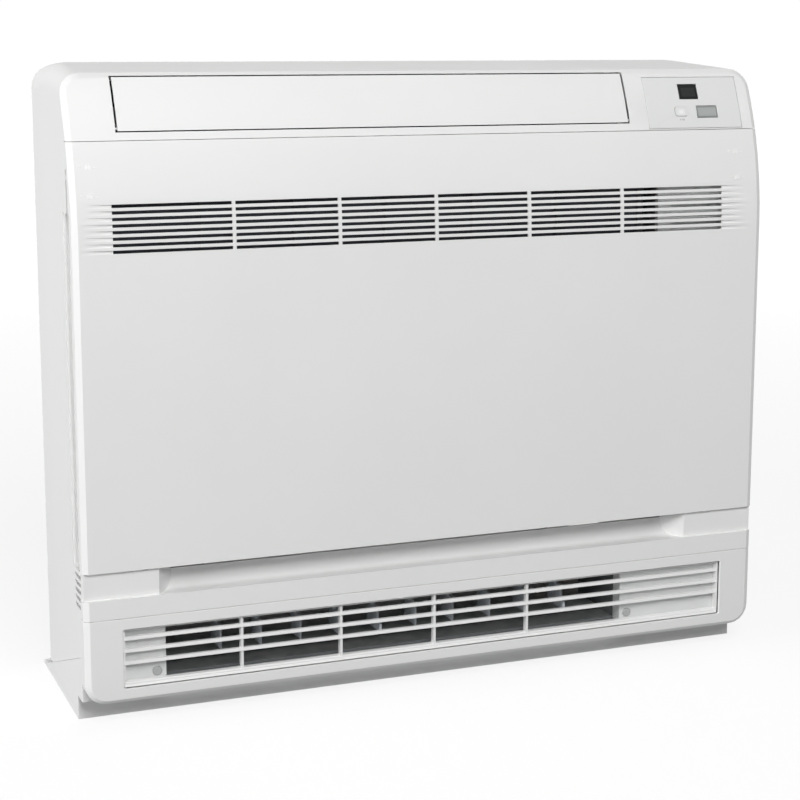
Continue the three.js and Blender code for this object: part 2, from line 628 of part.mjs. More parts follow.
function makeFrontPanel() {
  const levels = FACE_LEVELS.filter((z) => z < PANEL_TOP);
  const bottom = PANEL_BOTTOM + GAP;
  const side = { bottom, top: PANEL_TOP, levels };
  const outer = loft([
    { ...side, half: RIGHT, y: (z) => faceY(z) + RETURN_DEPTH },
    { ...side, half: RIGHT, y: (z) => faceY(z) + BAND_DEPTH },
    { ...side, half: RIGHT - BAND_WIDTH, y: faceY },
  ]);
  const shape = { bottom: bottom + WALL, top: PANEL_TOP - WALL, levels };
  const inner = loft([
    { ...shape, half: RIGHT - WALL, y: (z) => faceY(z) + RETURN_DEPTH + 1 },
    { ...shape, half: RIGHT - WALL, y: (z) => faceY(z) + BAND_DEPTH + 1 },
    { ...shape, half: RIGHT - BAND_WIDTH - 2, y: (z) => faceY(z) + WALL },
  ]);
  const openBack = box(
    LEFT + 30, RIGHT - 30, FRONT + WALL, FRONT + RETURN_DEPTH + 1, bottom - 1, bottom + WALL + 1,
  );
  const slots = [];
  const ribPlaces = INTAKE_RIBS.map((share) => INTAKE_LEFT + share * (INTAKE_RIGHT - INTAKE_LEFT));
  const ends = [INTAKE_LEFT, ...ribPlaces, INTAKE_RIGHT];
  for (let row = 0; row < INTAKE_SLOTS; row++) {
    const z1 = INTAKE_TOP - row * INTAKE_PITCH;
    const z0 = z1 - INTAKE_SLOT;
    for (let bay = 0; bay + 1 < ends.length; bay++) {
      const x0 = ends[bay] + (bay > 0 ? INTAKE_RIB / 2 : 0);
      const x1 = ends[bay + 1] - (bay + 2 < ends.length ? INTAKE_RIB / 2 : 0);
      slots.push(box(x0, x1, FRONT - 1, FRONT + RETURN_DEPTH + 1, z0, z1));
    }
    const face = faceY(z0);
    for (const [from, run] of [[INTAKE_LEFT, -INTAKE_FADE], [INTAKE_RIGHT, INTAKE_FADE]]) {
      const to = from + run;
      slots.push(sweepZ([[from, face - 1], [from, face + INTAKE_GROOVE], [to, face], [to, face - 1]], z0, z1));
    }
  }
  // Lugs and pins at the foot, and stiffening ribs on the back.
  const hinges = [-1, 1].flatMap((side) => {
    const lug = side * HINGE.lug;
    const inner = lug - side * 3;
    const tip = lug + side * (3 + HINGE.reach);
    return [
      box(lug - 3, lug + 3, FRONT + WALL - 0.2, HINGE.y + 2.6, HINGE.z + 0.5, HINGE.z + 9),
      rodX(HINGE.y, HINGE.z, HINGE.pin, Math.min(inner, tip), Math.max(inner, tip), 10),
    ];
  });
  const ribs = [-0.66, -0.23, 0.23, 0.66].map((share) => {
    const x = share * RIGHT;
    return box(x - 1, x + 1, FRONT + WALL - 0.2, FRONT + WALL + PANEL_RIB, bottom + 12, LEAN_START - 14);
  });
  piece("front_panel", join(cut(outer, inner, openBack, ...slots), ...hinges, ...ribs), WHITE);
}

function makeFascia() {
  const top = FASCIA_TOP;
  const outer = loft([
    { half: RIGHT, bottom: NOSE_BOTTOM + 0.8, top, foot: FOOT_RADIUS, y: NOSE_BACK },
    { half: RIGHT, bottom: NOSE_BOTTOM, top, foot: FOOT_RADIUS, y: FRONT + BAND_DEPTH + 3 },
    { half: RIGHT, bottom: NOSE_BOTTOM + 0.6, top, foot: FOOT_RADIUS, y: FRONT + BAND_DEPTH },
    { half: RIGHT - BAND_WIDTH, bottom: NOSE_BOTTOM + 4, top, foot: FOOT_RADIUS - BAND_WIDTH, y: FRONT },
  ]);
  const low = NOSE_BOTTOM + WALL;
  const inner = loft([
    { half: RIGHT - WALL - 2, bottom: low + 1, top: top - WALL, foot: FOOT_RADIUS - 3, y: NOSE_BACK + 1 },
    { half: RIGHT - BAND_WIDTH - 2, bottom: low + 3, top: top - WALL, foot: FOOT_RADIUS - 6, y: FRONT + WALL },
  ]);
  const mouth = roundedRectangle(-OUTLET_HALF, OUTLET_HALF, OUTLET_BOTTOM, OUTLET_TOP, 2);
  piece("lower_fascia", cut(outer, inner, sweepY(mouth, FRONT - 1, NOSE_BACK + 1)), WHITE);
}

function makeOutletGrille() {
  const half = OUTLET_HALF - GAP;
  const z0 = OUTLET_BOTTOM + GAP;
  const z1 = OUTLET_TOP - GAP;
  const back = GRILLE_FRONT + GRILLE_DEPTH + 2;
  const rim = sweepY(roundedRectangle(-half, half, z0, z1, 1.8), GRILLE_FRONT + 0.6, back);
  const opening = box(-half + 2.4, half - 2.4, GRILLE_FRONT - 1, back + 1, z0 + 3.4, z1 - 2);
  const sill = sweepX(
    [[GRILLE_FRONT - 0.8, z0 + 0.4], [back, z0 + 0.4], [back, z0 + 5], [GRILLE_FRONT + 2, z0 + 4.4]],
    -half + 1,
    half - 1,
  );
  const bars = [];
  for (let i = 0; i < OUTLET_BARS; i++) {
    const z = OUTLET_TOP_BAR - i * OUTLET_PITCH;
    const blade = [
      [GRILLE_FRONT, z - OUTLET_BAR / 2],
      [GRILLE_FRONT + GRILLE_DEPTH, z - OUTLET_BAR / 2 + 1],
      [GRILLE_FRONT + GRILLE_DEPTH, z + OUTLET_BAR / 2],
      [GRILLE_FRONT + 0.8, z + OUTLET_BAR / 2],
    ];
    bars.push(sweepX(blade, -half + 1, half - 1));
  }
  const posts = OUTLET_POSTS.map((share) => {
    const x = share * OUTLET_HALF;
    return box(x - OUTLET_POST / 2, x + OUTLET_POST / 2, GRILLE_FRONT + 1, back, z0 + 3, z1 - 1);
  });
  piece("outlet_grille", join(cut(rim, opening), sill, ...bars, ...posts), WHITE, 0.45);
}

// Light plates that close the two ends of the lower outlet, each with raised outlines.
function makeEndPlates() {
  const z0 = OUTLET_BOTTOM + 2;
  const z1 = OUTLET_TOP - 2;
  const plates = [
    ["outlet_plate_left", -OUTLET_HALF + 1, MOUTH_LEFT, -1],
    ["outlet_plate_right", MOUTH_RIGHT, OUTLET_HALF - 1, 1],
  ];
  for (const [name, x0, x1, side] of plates) {
    const outerEnd = side < 0 ? x0 : x1;
    const plate = box(x0, x1, END_PLATE_FRONT, END_PLATE_FRONT + END_PLATE, z0, z1);
    const mouthEnd = side < 0 ? x1 - 1.6 : x0;
    const lip = box(mouthEnd, mouthEnd + 1.6, END_PLATE_FRONT - 0.2, END_PLATE_FRONT + END_LIP, z0, z1);
    const frames = [];
    for (let i = 0; i < OUTLET_BARS; i++) {
      const z = OUTLET_TOP_BAR - (i + 0.5) * OUTLET_PITCH;
      const low = outerEnd - side * 14.6 - 0.6;
      frames.push(box(low, low + 1.2, END_PLATE_FRONT - 0.4, END_PLATE_FRONT + 0.5, z - 3, z + 3));
    }
    const hole = side < 0 ? MOUTH_LEFT - CAP_OFFSET : MOUTH_RIGHT + CAP_OFFSET;
    const seat = rodY(hole, CAP_Z, CAP_RADIUS + 0.3, END_PLATE_FRONT - 4, END_PLATE_FRONT + 1, 16);
    piece(name, join(cut(join(plate, ...frames), seat), lip), GREY_WHITE);
  }
}

function makeScrewCaps() {
  const places = [["screw_cap_left", MOUTH_LEFT - CAP_OFFSET], ["screw_cap_right", MOUTH_RIGHT + CAP_OFFSET]];
  for (const [name, x] of places) {
    const front = END_PLATE_FRONT - 0.9;
    const back = END_PLATE_FRONT + 0.7;
    const profile = [[0, back], [CAP_RADIUS, back], [CAP_RADIUS, front + 0.6], [CAP_RADIUS - 0.8, front], [0, front]];
    piece(name, turned(profile, x, CAP_Z, 16), GREY_WHITE);
  }
}
// ---- Pieces on the face ----
function makeLouver() {
  const x0 = LOUVER_LEFT;
  const x1 = LOUVER_RIGHT;
  const skin = behindFace(0, LOUVER_WALL, x0, x1, LOUVER_BOTTOM, LOUVER_TOP);
  const tip = behindFace(0.4, LOUVER_WALL + 6, x0, x1, LOUVER_TOP - 3.2, LOUVER_TOP);
  const ribs = [];
  for (let i = 1; i <= LOUVER_RIBS; i++) {
    const x = x0 + (i * (x1 - x0)) / (LOUVER_RIBS + 1);
    ribs.push(
      behindFace(LOUVER_WALL - 0.5, LOUVER_WALL + 4, x - 0.8, x + 0.8, LOUVER_BOTTOM + 6, LOUVER_TOP - 2),
    );
  }
  const { y, z } = LOUVER_AXIS;
  const pins = [
    rodX(y, z, LOUVER_PIN, x0 - LOUVER_PIN_REACH, x0 + 6, 8),
    rodX(y, z, LOUVER_PIN, x1 - 6, x1 + LOUVER_PIN_REACH, 8),
  ];
  const boss = [[y - 2, z - 1], [y + 1.4, z - 1], [y + 1.4, z + 2], [y + 1, z + 6], [y - 1, z + 6]];
  const bosses = [x0, x1 - 4].map((x) => sweepX(boss, x, x + 4));
  piece("upper_louver", join(skin, tip, ...ribs, ...bosses, ...pins), WHITE);
}

// The insert, its two windows, and the key that slides in it at right angles to the leaning face.
function makeControls() {
  const panel = behindFace(0.15, CONTROL_WALL, CONTROL_LEFT, CONTROL_RIGHT, CONTROL_BOTTOM, CONTROL_TOP);
  const behind = FRONT + 47.5;
  const opening = ({ x, z, width, height }, clear) =>
    box(
      x - width / 2 - clear, x + width / 2 + clear, FRONT - 1, behind,
      z - height / 2 - clear, z + height / 2 + clear,
    );
  const keyBody = (clear, front, back) => {
    const w = KEY.width / 2 + clear;
    const h = KEY.height / 2 + clear;
    return ontoFace(sweepY(roundedRectangle(-w, w, -h, h, KEY.radius + clear), front, back), KEY.x, KEY.z);
  };
  const keyHole = keyBody(GAP, -CONTROL_WALL, 2 * CONTROL_WALL);
  piece("control_panel", cut(panel, opening(DISPLAY, GAP), opening(RECEIVER, GAP), keyHole), GREY_WHITE);
  const pane = (name, at, color, roughness) => {
    const sheet = behindFace(0.5, CONTROL_WALL + 0.6, at.x - 40, at.x + 40, at.z - 12, at.z + 12);
    piece(name, opening(at, 0).intersect(sheet), color, roughness);
  };
  pane("display_window", DISPLAY, GLASS_BLACK, 0.15);
  pane("receiver_window", RECEIVER, SMOKE, 0.3);
  piece("power_key", keyBody(0, -0.4, KEY.stem), WHITE, 0.4);
}

// Board behind the insert, leaning with the face. The key stops short of its switch.
function makeDisplayBoard() {
  const front = KEY.stem + KEY.travel + 1.2;
  const part = (from, x0, x1, z0, z1) => behindFace(from, front + 0.2, x0, x1, z0, z1);
  const near = CONTROL_WALL + 0.9;
  const board = behindFace(
    front, front + 1.6, CONTROL_LEFT + 8, CONTROL_RIGHT - 10, CONTROL_BOTTOM + 7, CONTROL_TOP - 12,
  );
  const ledBlock = part(near, DISPLAY.x - 8, DISPLAY.x + 8, DISPLAY.z - 4.5, DISPLAY.z + 2);
  const eye = part(near, RECEIVER.x - 4, RECEIVER.x + 4, RECEIVER.z - 3, RECEIVER.z + 3);
  const keySwitch = part(front - 0.8, KEY.x - 2, KEY.x + 2, KEY.z - 2, KEY.z + 2);
  const feet = [CONTROL_LEFT + 4.4, CONTROL_RIGHT - 10.8].map((x) =>
    behindFace(CONTROL_WALL + 0.3, front + 0.8, x, x + 4.2, CONTROL_BOTTOM + 10, CONTROL_BOTTOM + 16),
  );
  piece("display_board", join(board, ledBlock, eye, keySwitch, ...feet), GREEN);
}

// Slides in the case sides that hold the panel shut.
function makeLatches() {
  const inner = caseHalf - CHANNEL_DEPTH - 0.5 + GAP;
  const outer = RIGHT - 0.2;
  const low = LATCH.top - LATCH.length;
  for (const [name, side] of [["latch_left", -1], ["latch_right", 1]]) {
    const at = (x0, x1, y0, y1, z0, z1) => (side > 0 ? box(x0, x1, y0, y1, z0, z1) : box(-x1, -x0, y0, y1, z0, z1));
    const body = at(inner, outer - 1.4, LATCH.front, LATCH.rear, low, LATCH.top);
    const grip = at(outer - 1.6, outer, LATCH.front + 0.8, LATCH.rear - 1.6, low + 3.4, LATCH.top - 3.4);
    piece(name, join(body, grip), WHITE);
  }
}

// ---- Lower outlet: vanes, their tie bars and the air door ----
const ductFloor = OUTLET_BOTTOM + 3;
const ductRoof = OUTLET_TOP - 2;
const vaneX = (i) => VANE_CENTRE + (i - (VANES - 1) / 2) * VANE_PITCH;
const tieZ = ductRoof - 7;

function makeVanes() {
  for (let i = 0; i < VANES; i++) {
    const x = vaneX(i);
    const low = ductFloor + VANE_CLEARANCE;
    const high = tieZ - TIE_THICK / 2 - GAP;
    const tip = VANE_AXIS_Y - VANE_FRONT;
    const rear = VANE_AXIS_Y + VANE_REAR;
    const x0 = x - VANE_THICK / 2;
    const x1 = x + VANE_THICK / 2;
    const blade = sweepZ([[x0, rear], [x0, tip + 2], [x, tip], [x1, tip + 2], [x1, rear]], low, high);
    const neck = rodZ(x, VANE_AXIS_Y, VANE_PIN + 1, high - 1, tieZ + 3, 6);
    const pins = rodZ(x, VANE_AXIS_Y, VANE_PIN, high - 1, ductRoof + 2, 8);
    const crank = rodZ(x, VANE_AXIS_Y + VANE_CRANK, CRANK_PIN, high - 1, tieZ + TIE_THICK / 2 + 0.8, 6);
    const parts = [blade, neck, pins, crank];
    if ((i + 1) % VANES_IN_SET === 0) {
      parts.push(box(x - 1.2, x + 1.2, tip - 5, tip + 3, low + 1, low + 8)); // finger tab
    }
    piece(`vane_${String(i + 1).padStart(2, "0")}`, join(...parts), GREY_WHITE);
  }
}

function makeTieBars() {
  for (const [name, first] of [["tie_bar_left", 0], ["tie_bar_right", VANES_IN_SET]]) {
    const y = VANE_AXIS_Y + VANE_CRANK;
    const x0 = vaneX(first) - 4;
    const x1 = vaneX(first + VANES_IN_SET - 1) + 4;
    const bar = box(x0, x1, y - TIE_HALF, y + TIE_HALF, tieZ - TIE_THICK / 2, tieZ + TIE_THICK / 2);
    const holes = [];
    for (let i = first; i < first + VANES_IN_SET; i++) {
      holes.push(rodZ(vaneX(i), y, CRANK_PIN + GAP, tieZ - 5, tieZ + 5, 8));
    }
    piece(name, cut(bar, ...holes), GREY_WHITE);
  }
}

// Short duct behind the lower grille: it carries the vanes and the air door.
function makeLowerDuct() {
  const x0 = MOUTH_LEFT - 3;
  const x1 = MOUTH_RIGHT + 3;
  const front = END_PLATE_FRONT + END_LIP + 1;
  const back = DOOR.y + 14;
  const outer = box(x0, x1, front, back, ductFloor - 2.4, ductRoof + 2.4);
  const bore = box(x0 + 2, x1 - 2, front - 1, back + 1, ductFloor, ductRoof);
  const holes = [];
  for (let i = 0; i < VANES; i++) {
    holes.push(rodZ(vaneX(i), VANE_AXIS_Y, VANE_PIN + GAP, ductRoof - 1, ductRoof + 5, 8));
  }
  const doorHoles = rodX(DOOR.y, DOOR.z, DOOR.pin + GAP, x0 - 1, x1 + 1, 8);
  piece("lower_duct", cut(outer, bore, ...holes, doorHoles), GREY);
}

function makeAirDoor() {
  const x0 = MOUTH_LEFT + 2;
  const x1 = MOUTH_RIGHT - 2;
  const { y, z, reach } = DOOR;
  const section = [
    [y + 2.4, z - 1.2], [y + 2.4, z + 1.2], [y - 6, z + 1.2], [y - reach, z + 0.2], [y - reach, z - 1], [y - 6, z - 1.2],
  ];
  const flap = sweepX(section, x0, x1);
  const pin = rodX(y, z, DOOR.pin, x0 - 3, x1 + 3, 10);
  piece("lower_air_door", join(flap, pin), GREY);
}

// Small geared motors that turn the louver and the air door.
function makeStepMotors() {
  const motor = (name, x, y, z, side) => {
    const from = (length) => [Math.min(x, x + side * length), Math.max(x, x + side * length)];
    const can = rodX(y, z, 12, ...from(14), 16);
    const ear = box(...from(1.2), y - 3, y + 3, z - 17, z + 17);
    piece(name, join(can, ear), STEEL, 0.4, 0.7);
  };
  motor("louver_motor", nozzleLeft - NOZZLE_EAR - GAP, LOUVER_AXIS.y + 20, LOUVER_AXIS.z + 8, -1);
  motor("air_door_motor", MOUTH_RIGHT + 3 + GAP, DOOR.y, DOOR.z + 14, 1);
}

// ---- Air path inside ----
function makeFilter() {
  const { left, right, bottom, top } = WINDOW;
  const x0 = left + 0.6;
  const x1 = right - 0.6;
  const z0 = bottom + 0.6;
  const z1 = top - 0.6;
  const { columns, rows, rim, bar } = FILTER;
  const frame = box(x0, x1, FILTER.front, FILTER.back, z0, z1);
  const w = (x1 - x0 - 2 * rim) / columns;
  const h = (z1 - z0 - 2 * rim) / rows;
  const windows = [];
  for (let i = 0; i < columns; i++) {
    for (let j = 0; j < rows; j++) {
      const x = x0 + rim + i * w;
      const z = z0 + rim + j * h;
      windows.push(
        box(x + bar / 2, x + w - bar / 2, FILTER.front - 1, FILTER.back + 1, z + bar / 2, z + h - bar / 2),
      );
    }
  }
  const tabs = [x0 + w * 1.5, x1 - w * 1.5].map((x) =>
    box(x - 16, x + 16, FILTER.front - 3, FILTER.front + 1, z0 + 0.6, z0 + 4.6),
  );
  piece("filter_frame", join(cut(frame, ...windows), ...tabs), GREY_WHITE);
  piece("filter_net", box(x0 + 1, x1 - 1, FILTER.back + 0.3, FILTER.back + 0.9, z0 + 1, z1 - 1), DARK, 0.9);
}

function makeCoil() {
  const { left, right, bottom, top, front, back } = COIL;
  const spine = 3;
  const comb = [[left + 6, back], [left + 6, front]];
  for (let x = left + 6; x + FIN_PITCH < right - 6; x += FIN_PITCH) {
    comb.push([x + FIN_THICK, front], [x + FIN_THICK, back - spine]);
    comb.push([x + FIN_PITCH, back - spine], [x + FIN_PITCH, front]);
  }
  const end = comb.at(-1)[0];
  comb.push([end + FIN_THICK, front], [end + FIN_THICK, back]);
  piece("coil_fins", sweepZ(comb, bottom, top), ALUMINIUM, 0.4, 0.8);
  const plate = (x, side) => {
    const from = (width) => [Math.min(x, x + side * width), Math.max(x, x + side * width)];
    const web = box(...from(1.2), front - 1, back + 1, bottom - 2, top + 2);
    const flange = box(...from(7), back + 0.4, back + 1.6, bottom - 2, top + 2);
    return join(web, flange);
  };
  // Return bends brazed into the left end plate, and the header at the right.
  const bends = [];
  const step = (top - bottom - 20) / TUBE_ROWS;
  const y = (front + back) / 2;
  for (let i = 0; i < TUBE_ROWS; i += 2) {
    const z = bottom + 10 + i * step;
    const x = left + 5 - 0.6;
    const bend = [
      [x, y, z], [x - 7, y, z + 2], [x - 11, y, z + step / 2], [x - 7, y, z + step - 2], [x, y, z + step],
    ];
    bends.push(tube(bend, TUBE_RADIUS, 6, 6));
  }
  const x = end + FIN_THICK + 1 + 0.6;
  const headerPath = [
    [x, y, top - 20], [x + 6, y, top - 22], [x + 9, y, top - 40], [x + 9, y, bottom + 60], [x + 9, y + 10, bottom + 20],
  ];
  const header = tube(headerPath, TUBE_RADIUS, 6, 14);
  piece("coil_end_left", join(plate(left + 5, -1), ...bends), COPPER, 0.35, 0.9);
  piece("coil_end_right", join(plate(end + FIN_THICK + 1, 1), header), COPPER, 0.35, 0.9);
}

function makeDrainPan() {
  const { left, right, bottom, front } = COIL;
  const z1 = bottom - 3;
  const z0 = z1 - 17;
  const lip = front - 2;
  const back = PARTITION.front - 1;
  const wall = 1.8;
  const outer = sweepX([[lip, z0 + 3], [front + 6, z0], [back, z0], [back, z1], [lip, z1]], left - 14, right + 14);
  const low = z0 + wall;
  const inside = sweepX(
    [[lip + wall, z0 + 6], [front + 7, low], [back - wall, low], [back - wall, z1 + 1], [lip + wall, z1 + 1]],
    left - 14 + wall, right + 14 - wall,
  );
  const rests = [left + 68, (left + right) / 2 + 53, right - 32].map((x) =>
    box(x - 4, x + 4, front + 2, back - 1, z0 + 1, bottom - GAP),
  );
  const spoutY = (front + back) / 2 + 2.5;
  const spout = rodZ(right + 4, spoutY, 8, z0 - 14, z0 + 3, 12);
  const bore = rodZ(right + 4, spoutY, 6, z0 - 15, z0 + 4, 12);
  piece("drain_pan", cut(join(cut(outer, inside), ...rests, spout), bore), GREY_WHITE);
}

// Upright wall between the coil and the fan, with the fan's inlet ring.
function makePartition() {
  const wall = box(
    -caseHalf + SIDE_WALL + 1, BOX.left - 12, PARTITION.front, PARTITION.back, PANEL_BOTTOM - 7, HEIGHT - 72,
  );
  const throat = turned(
    [[FAN.bore, FAN.front + 1], [FAN.bore + 2, FAN.front + 1], [FAN.bore + 3, PARTITION.back],
      [FAN.bore + 8, PARTITION.front], [FAN.bore + 6, PARTITION.front], [FAN.bore + 1, PARTITION.back - 1]],
    FAN.x, FAN.z, 28,
  );
  const hole = rodY(FAN.x, FAN.z, FAN.bore + 4, PARTITION.front - 1, PARTITION.back + 1, 32);
  piece("fan_partition", join(cut(wall, hole), throat), DARK);
}

function makeFan() {
  const { x, z, radius, front, back, blades, bore } = FAN;
  const disc = turned(
    [
      [SHAFT_RADIUS + GAP, front + 26], [14, front + 26], [22, front + 30], [60, back - 10], [radius, back - 2],
      [radius, back], [60, back - 7], [20, front + 34], [SHAFT_RADIUS + GAP, front + 34],
    ],
    x, z, 28,
  );
  const shroud = turned(
    [
      [bore + 7, front + 1], [bore + 9, front + 1], [bore + 14, front + 8], [radius, front + 16],
      [radius, front + 18], [bore + 12, front + 10], [bore + 7, front + 4],
    ],
    x, z, 28,
  );
  const vanes = [];
  for (let i = 0; i < blades; i++) {
    const turn = (i / blades) * Math.PI * 2;
    const inner = [];
    const outer = [];
    for (let j = 0; j <= 4; j++) {
      const t = j / 4;
      const r = 76 + t * (radius - 78);
      const angle = turn + 0.55 * t ** 1.4;
      const half = (1.1 + 2.2 * Math.sin(Math.PI * t)) / r;
      outer.push([x + r * Math.cos(angle + half), z + r * Math.sin(angle + half)]);
      inner.push([x + r * Math.cos(angle - half), z + r * Math.sin(angle - half)]);
    }
    const blade = sweepY([...outer, ...inner.reverse()], front + 3, back - 4);
    vanes.push(blade.intersect(bladeZone()));
  }
  piece("fan_wheel", join(disc, shroud, ...vanes), DARK, 0.6);
}

// The room between the shroud and the back disc that the blades fill.
function bladeZone() {
  const { x, z, radius, front, back, bore } = FAN;
  return turned(
    [
      [60, front + 4], [bore + 8, front + 3], [bore + 13, front + 9], [radius - 1, front + 17],
      [radius - 1, back - 1.5], [60, back - 8.5],
    ],
    x, z, 28,
  );
}

function makeFanDrive() {
  const { x, z, front } = FAN;
  piece("motor_shaft", rodY(x, z, SHAFT_RADIUS, front + 12, MOTOR.front + 6, 14), STEEL, 0.3, 0.9);
  const nutBore = rodY(x, z, SHAFT_RADIUS + GAP, front + 10, front + 30, 14);
  piece("fan_nut", cut(rodY(x, z, 9, front + 17.4, front + 25.7, 6), nutBore), BRASS, 0.35, 0.8);
  const { radius, front: nose, back: tail } = MOTOR;
  const can = turned(
    [
      [SHAFT_RADIUS + 0.4, nose], [14, nose], [16, nose + 5], [radius - 8, nose + 5], [radius, nose + 13],
      [radius, tail - 8], [radius - 8, tail], [0, tail], [0, nose + 7], [SHAFT_RADIUS + 0.4, nose + 7],
    ],
    x, z, 24,
  );
  piece("fan_motor", can, STEEL, 0.5, 0.4);
  // Cross-shaped bracket on the rear wall, with a ring round the motor.
  const onWall = BACK - WALL - GAP;
  const ring = turned(
    [[radius + GAP, nose + 20], [radius + 3, nose + 20], [radius + 3, onWall], [radius + GAP, onWall]],
    x, z, 24,
  );
  const arms = [45, 135, 225, 315].map((degrees) => {
    const arm = box(radius + 2, radius + 46, onWall - 5, onWall, -9, 9);
    return arm.rotate([0, degrees, 0]).translate([x, 0, z]);
  });
  piece("motor_bracket", join(ring, ...arms), STEEL, 0.5, 0.6);
}

// Curved side walls that lead the air from the fan up and down.
function makeDuctWalls() {
  const y0 = PARTITION.back + GAP;
  const y1 = BACK - WALL - 10;
  const wall = (name, side, top, bottom) => {
    const reach = FAN.radius + 26;
    const path = [];
    const steps = 7;
    for (let i = 0; i <= steps; i++) {
      const angle = THREE.MathUtils.degToRad(52 - (i / steps) * 104);
      path.push([FAN.x + side * reach * Math.cos(angle), FAN.z + reach * Math.sin(angle)]);
    }
    const line = [[top, HEIGHT - 72], ...path, [bottom, ductRoof + 3]];
    const back = line.map(([x, z]) => [x + side * WALL, z]).reverse();
    piece(name, sweepY([...line, ...back], y0, y1), DARK, 0.7);
  };
  wall("duct_wall_left", -1, LOUVER_LEFT + 14, MOUTH_LEFT + 4);
  wall("duct_wall_right", 1, LOUVER_RIGHT - 14, MOUTH_RIGHT - 4);
}

// Nozzle behind the upper louver, with fixed guide ribs.
const nozzleLeft = LOUVER_LEFT - LOUVER_GAP - NOZZLE_WALL - 0.2;
const nozzleRight = LOUVER_RIGHT + LOUVER_GAP + NOZZLE_WALL + 0.2;

function makeUpperNozzle() {
  const x0 = nozzleLeft;
  const x1 = nozzleRight;
  const mouth = LOUVER_AXIS.y + 11.4;
  const bend = FRONT + 77.5;
  const back = FRONT + 99.5;
  const sill = LOUVER_AXIS.z + 0.2;
  const low = sill - 15;
  const roof = HEIGHT - 9.5;
  const floorPlate = [[mouth, sill + 2.4], [bend, low + 2.4], [bend, low], [mouth, sill]];
  const roofPlate = [[mouth + 14, roof - 7], [back - 2, roof - 2], [back - 2, roof], [mouth + 14, roof - 5]];
  const backPlate = [[back - 2, roof], [back - 2, roof - 30.5], [back, roof - 30.5], [back, roof]];
  const cheek = [
    [mouth, sill], [bend, low], [back, low], [back, roof], [mouth + 16, roof - 5], [mouth + 4, roof - 17.5],
  ];
  const guide = [
    [mouth + 10, sill - 1.6], [bend - 4, low + 2.4], [bend + 10, roof - 30.5], [bend + 10, roof - 2.5],
    [mouth + 22, roof - 6],
  ];
  const guides = [];
  for (let i = 1; i < NOZZLE_BAYS; i++) {
    const x = x0 + (i * (x1 - x0)) / NOZZLE_BAYS;
    guides.push(sweepX(guide, x - NOZZLE_GUIDE / 2, x + NOZZLE_GUIDE / 2));
  }
  // Ears in front of the cheeks, bored for the louver's pins.
  const { y, z } = LOUVER_AXIS;
  const ear = [[y - 0.4, z - 2.6], [mouth + 2, z - 2.6], [mouth + 6, z + 20], [y + 8, z + 8], [y - 0.4, z + 3]];
  const ears = [x0 - NOZZLE_EAR, x1 - NOZZLE_WALL].map((x) =>
    cut(sweepX(ear, x, x + NOZZLE_WALL + NOZZLE_EAR), rodX(y, z, LOUVER_PIN + 0.3, x - 1, x + 4, 8)),
  );
  const cheeks = [x0, x1 - NOZZLE_WALL].map((x) => sweepX(cheek, x, x + NOZZLE_WALL));
  const plates = [floorPlate, roofPlate, backPlate].map((section) => sweepX(section, x0, x1));
  piece("upper_nozzle", join(...plates, ...cheeks, ...guides, ...ears), DARK, 0.7);
}

// ---- Electrics and pipes ----
function makeElectrics() {
  const { left, right, bottom, top, front, back, wall } = BOX;
  const inside = back - wall; // rear wall of the box, from within
  const shell = box(left, right, front, back, bottom, top);
  const hollow = box(left + wall, right - wall, front - 1, inside, bottom + wall, top - wall);
  const wireSlot = box(right - 40, right - 24, front + 12, front + 30, bottom - 6, bottom + wall + 1);
  const hanger = box(right - 1, caseHalf - SIDE_WALL - GAP, back - 12, back - 4, bottom + 40, top - 40);
  piece("electric_box", join(cut(shell, hollow, wireSlot), hanger), GREY_WHITE);
  const lidFront = WINDOW.back + 0.4;
  const lid = box(left - 1, right - 1, lidFront, front - GAP, bottom - 1, top + 1);
  const louvres = [34, 43, 52, 61].map((drop) =>
    box(left + 14, right - 16, lidFront - 1, front - 1.2, top - drop, top - drop + 3),
  );
  const slot = box(SWITCH.x - 9, SWITCH.x + 9, lidFront - 1, front + 2, SWITCH.z - 2.2, SWITCH.z + 2.2);
  piece("electric_cover", cut(lid, ...louvres, slot), GREY_WHITE);
  const knob = join(
    box(SWITCH.x - 6, SWITCH.x + 3, front - GAP - 2, front + 2.5, SWITCH.z - 1.8, SWITCH.z + 1.8),
    box(SWITCH.x - 6, SWITCH.x - 2, lidFront - 2, front, SWITCH.z - 1.8, SWITCH.z + 1.8),
  );
  piece("outlet_switch", knob, GREY);
  const boardFace = inside - 7;
  const board = box(left + 4, right - 4, boardFace, boardFace + 1.6, bottom + 70, top - 20);
  const posts = [left + 12, right - 12].flatMap((x) =>
    [bottom + 80, top - 30].map((z) => rodY(x, z, 3, boardFace + 1, inside - GAP, 8)),
  );
  const parts = [
    rodY(left + 26, top - 60, 12, boardFace - 35, boardFace + 1, 12), // capacitor
    box(left + 44, left + 74, boardFace - 21, boardFace + 1, top - 90, top - 50), // transformer
    box(left + 16, left + 60, boardFace - 11, boardFace + 1, bottom + 90, bottom + 120), // relays
  ];
  piece("control_board", join(board, ...posts, ...parts), GREEN);
  const block = box(left + 16, right - 16, inside - 28, inside - GAP, bottom + 30, bottom + 54);
  const ways = [22, 36, 50, 64].map((x) =>
    box(left + x, left + x + 9, inside - 30, inside - 12, bottom + 34, bottom + 50),
  );
  piece("terminal_block", cut(block, ...ways), DARK);
  const clamp = box(right - 48, right - 16, front + 8, front + 34, bottom - 4, bottom - GAP);
  piece("cable_clamp", cut(clamp, wireSlot), DARK);
}

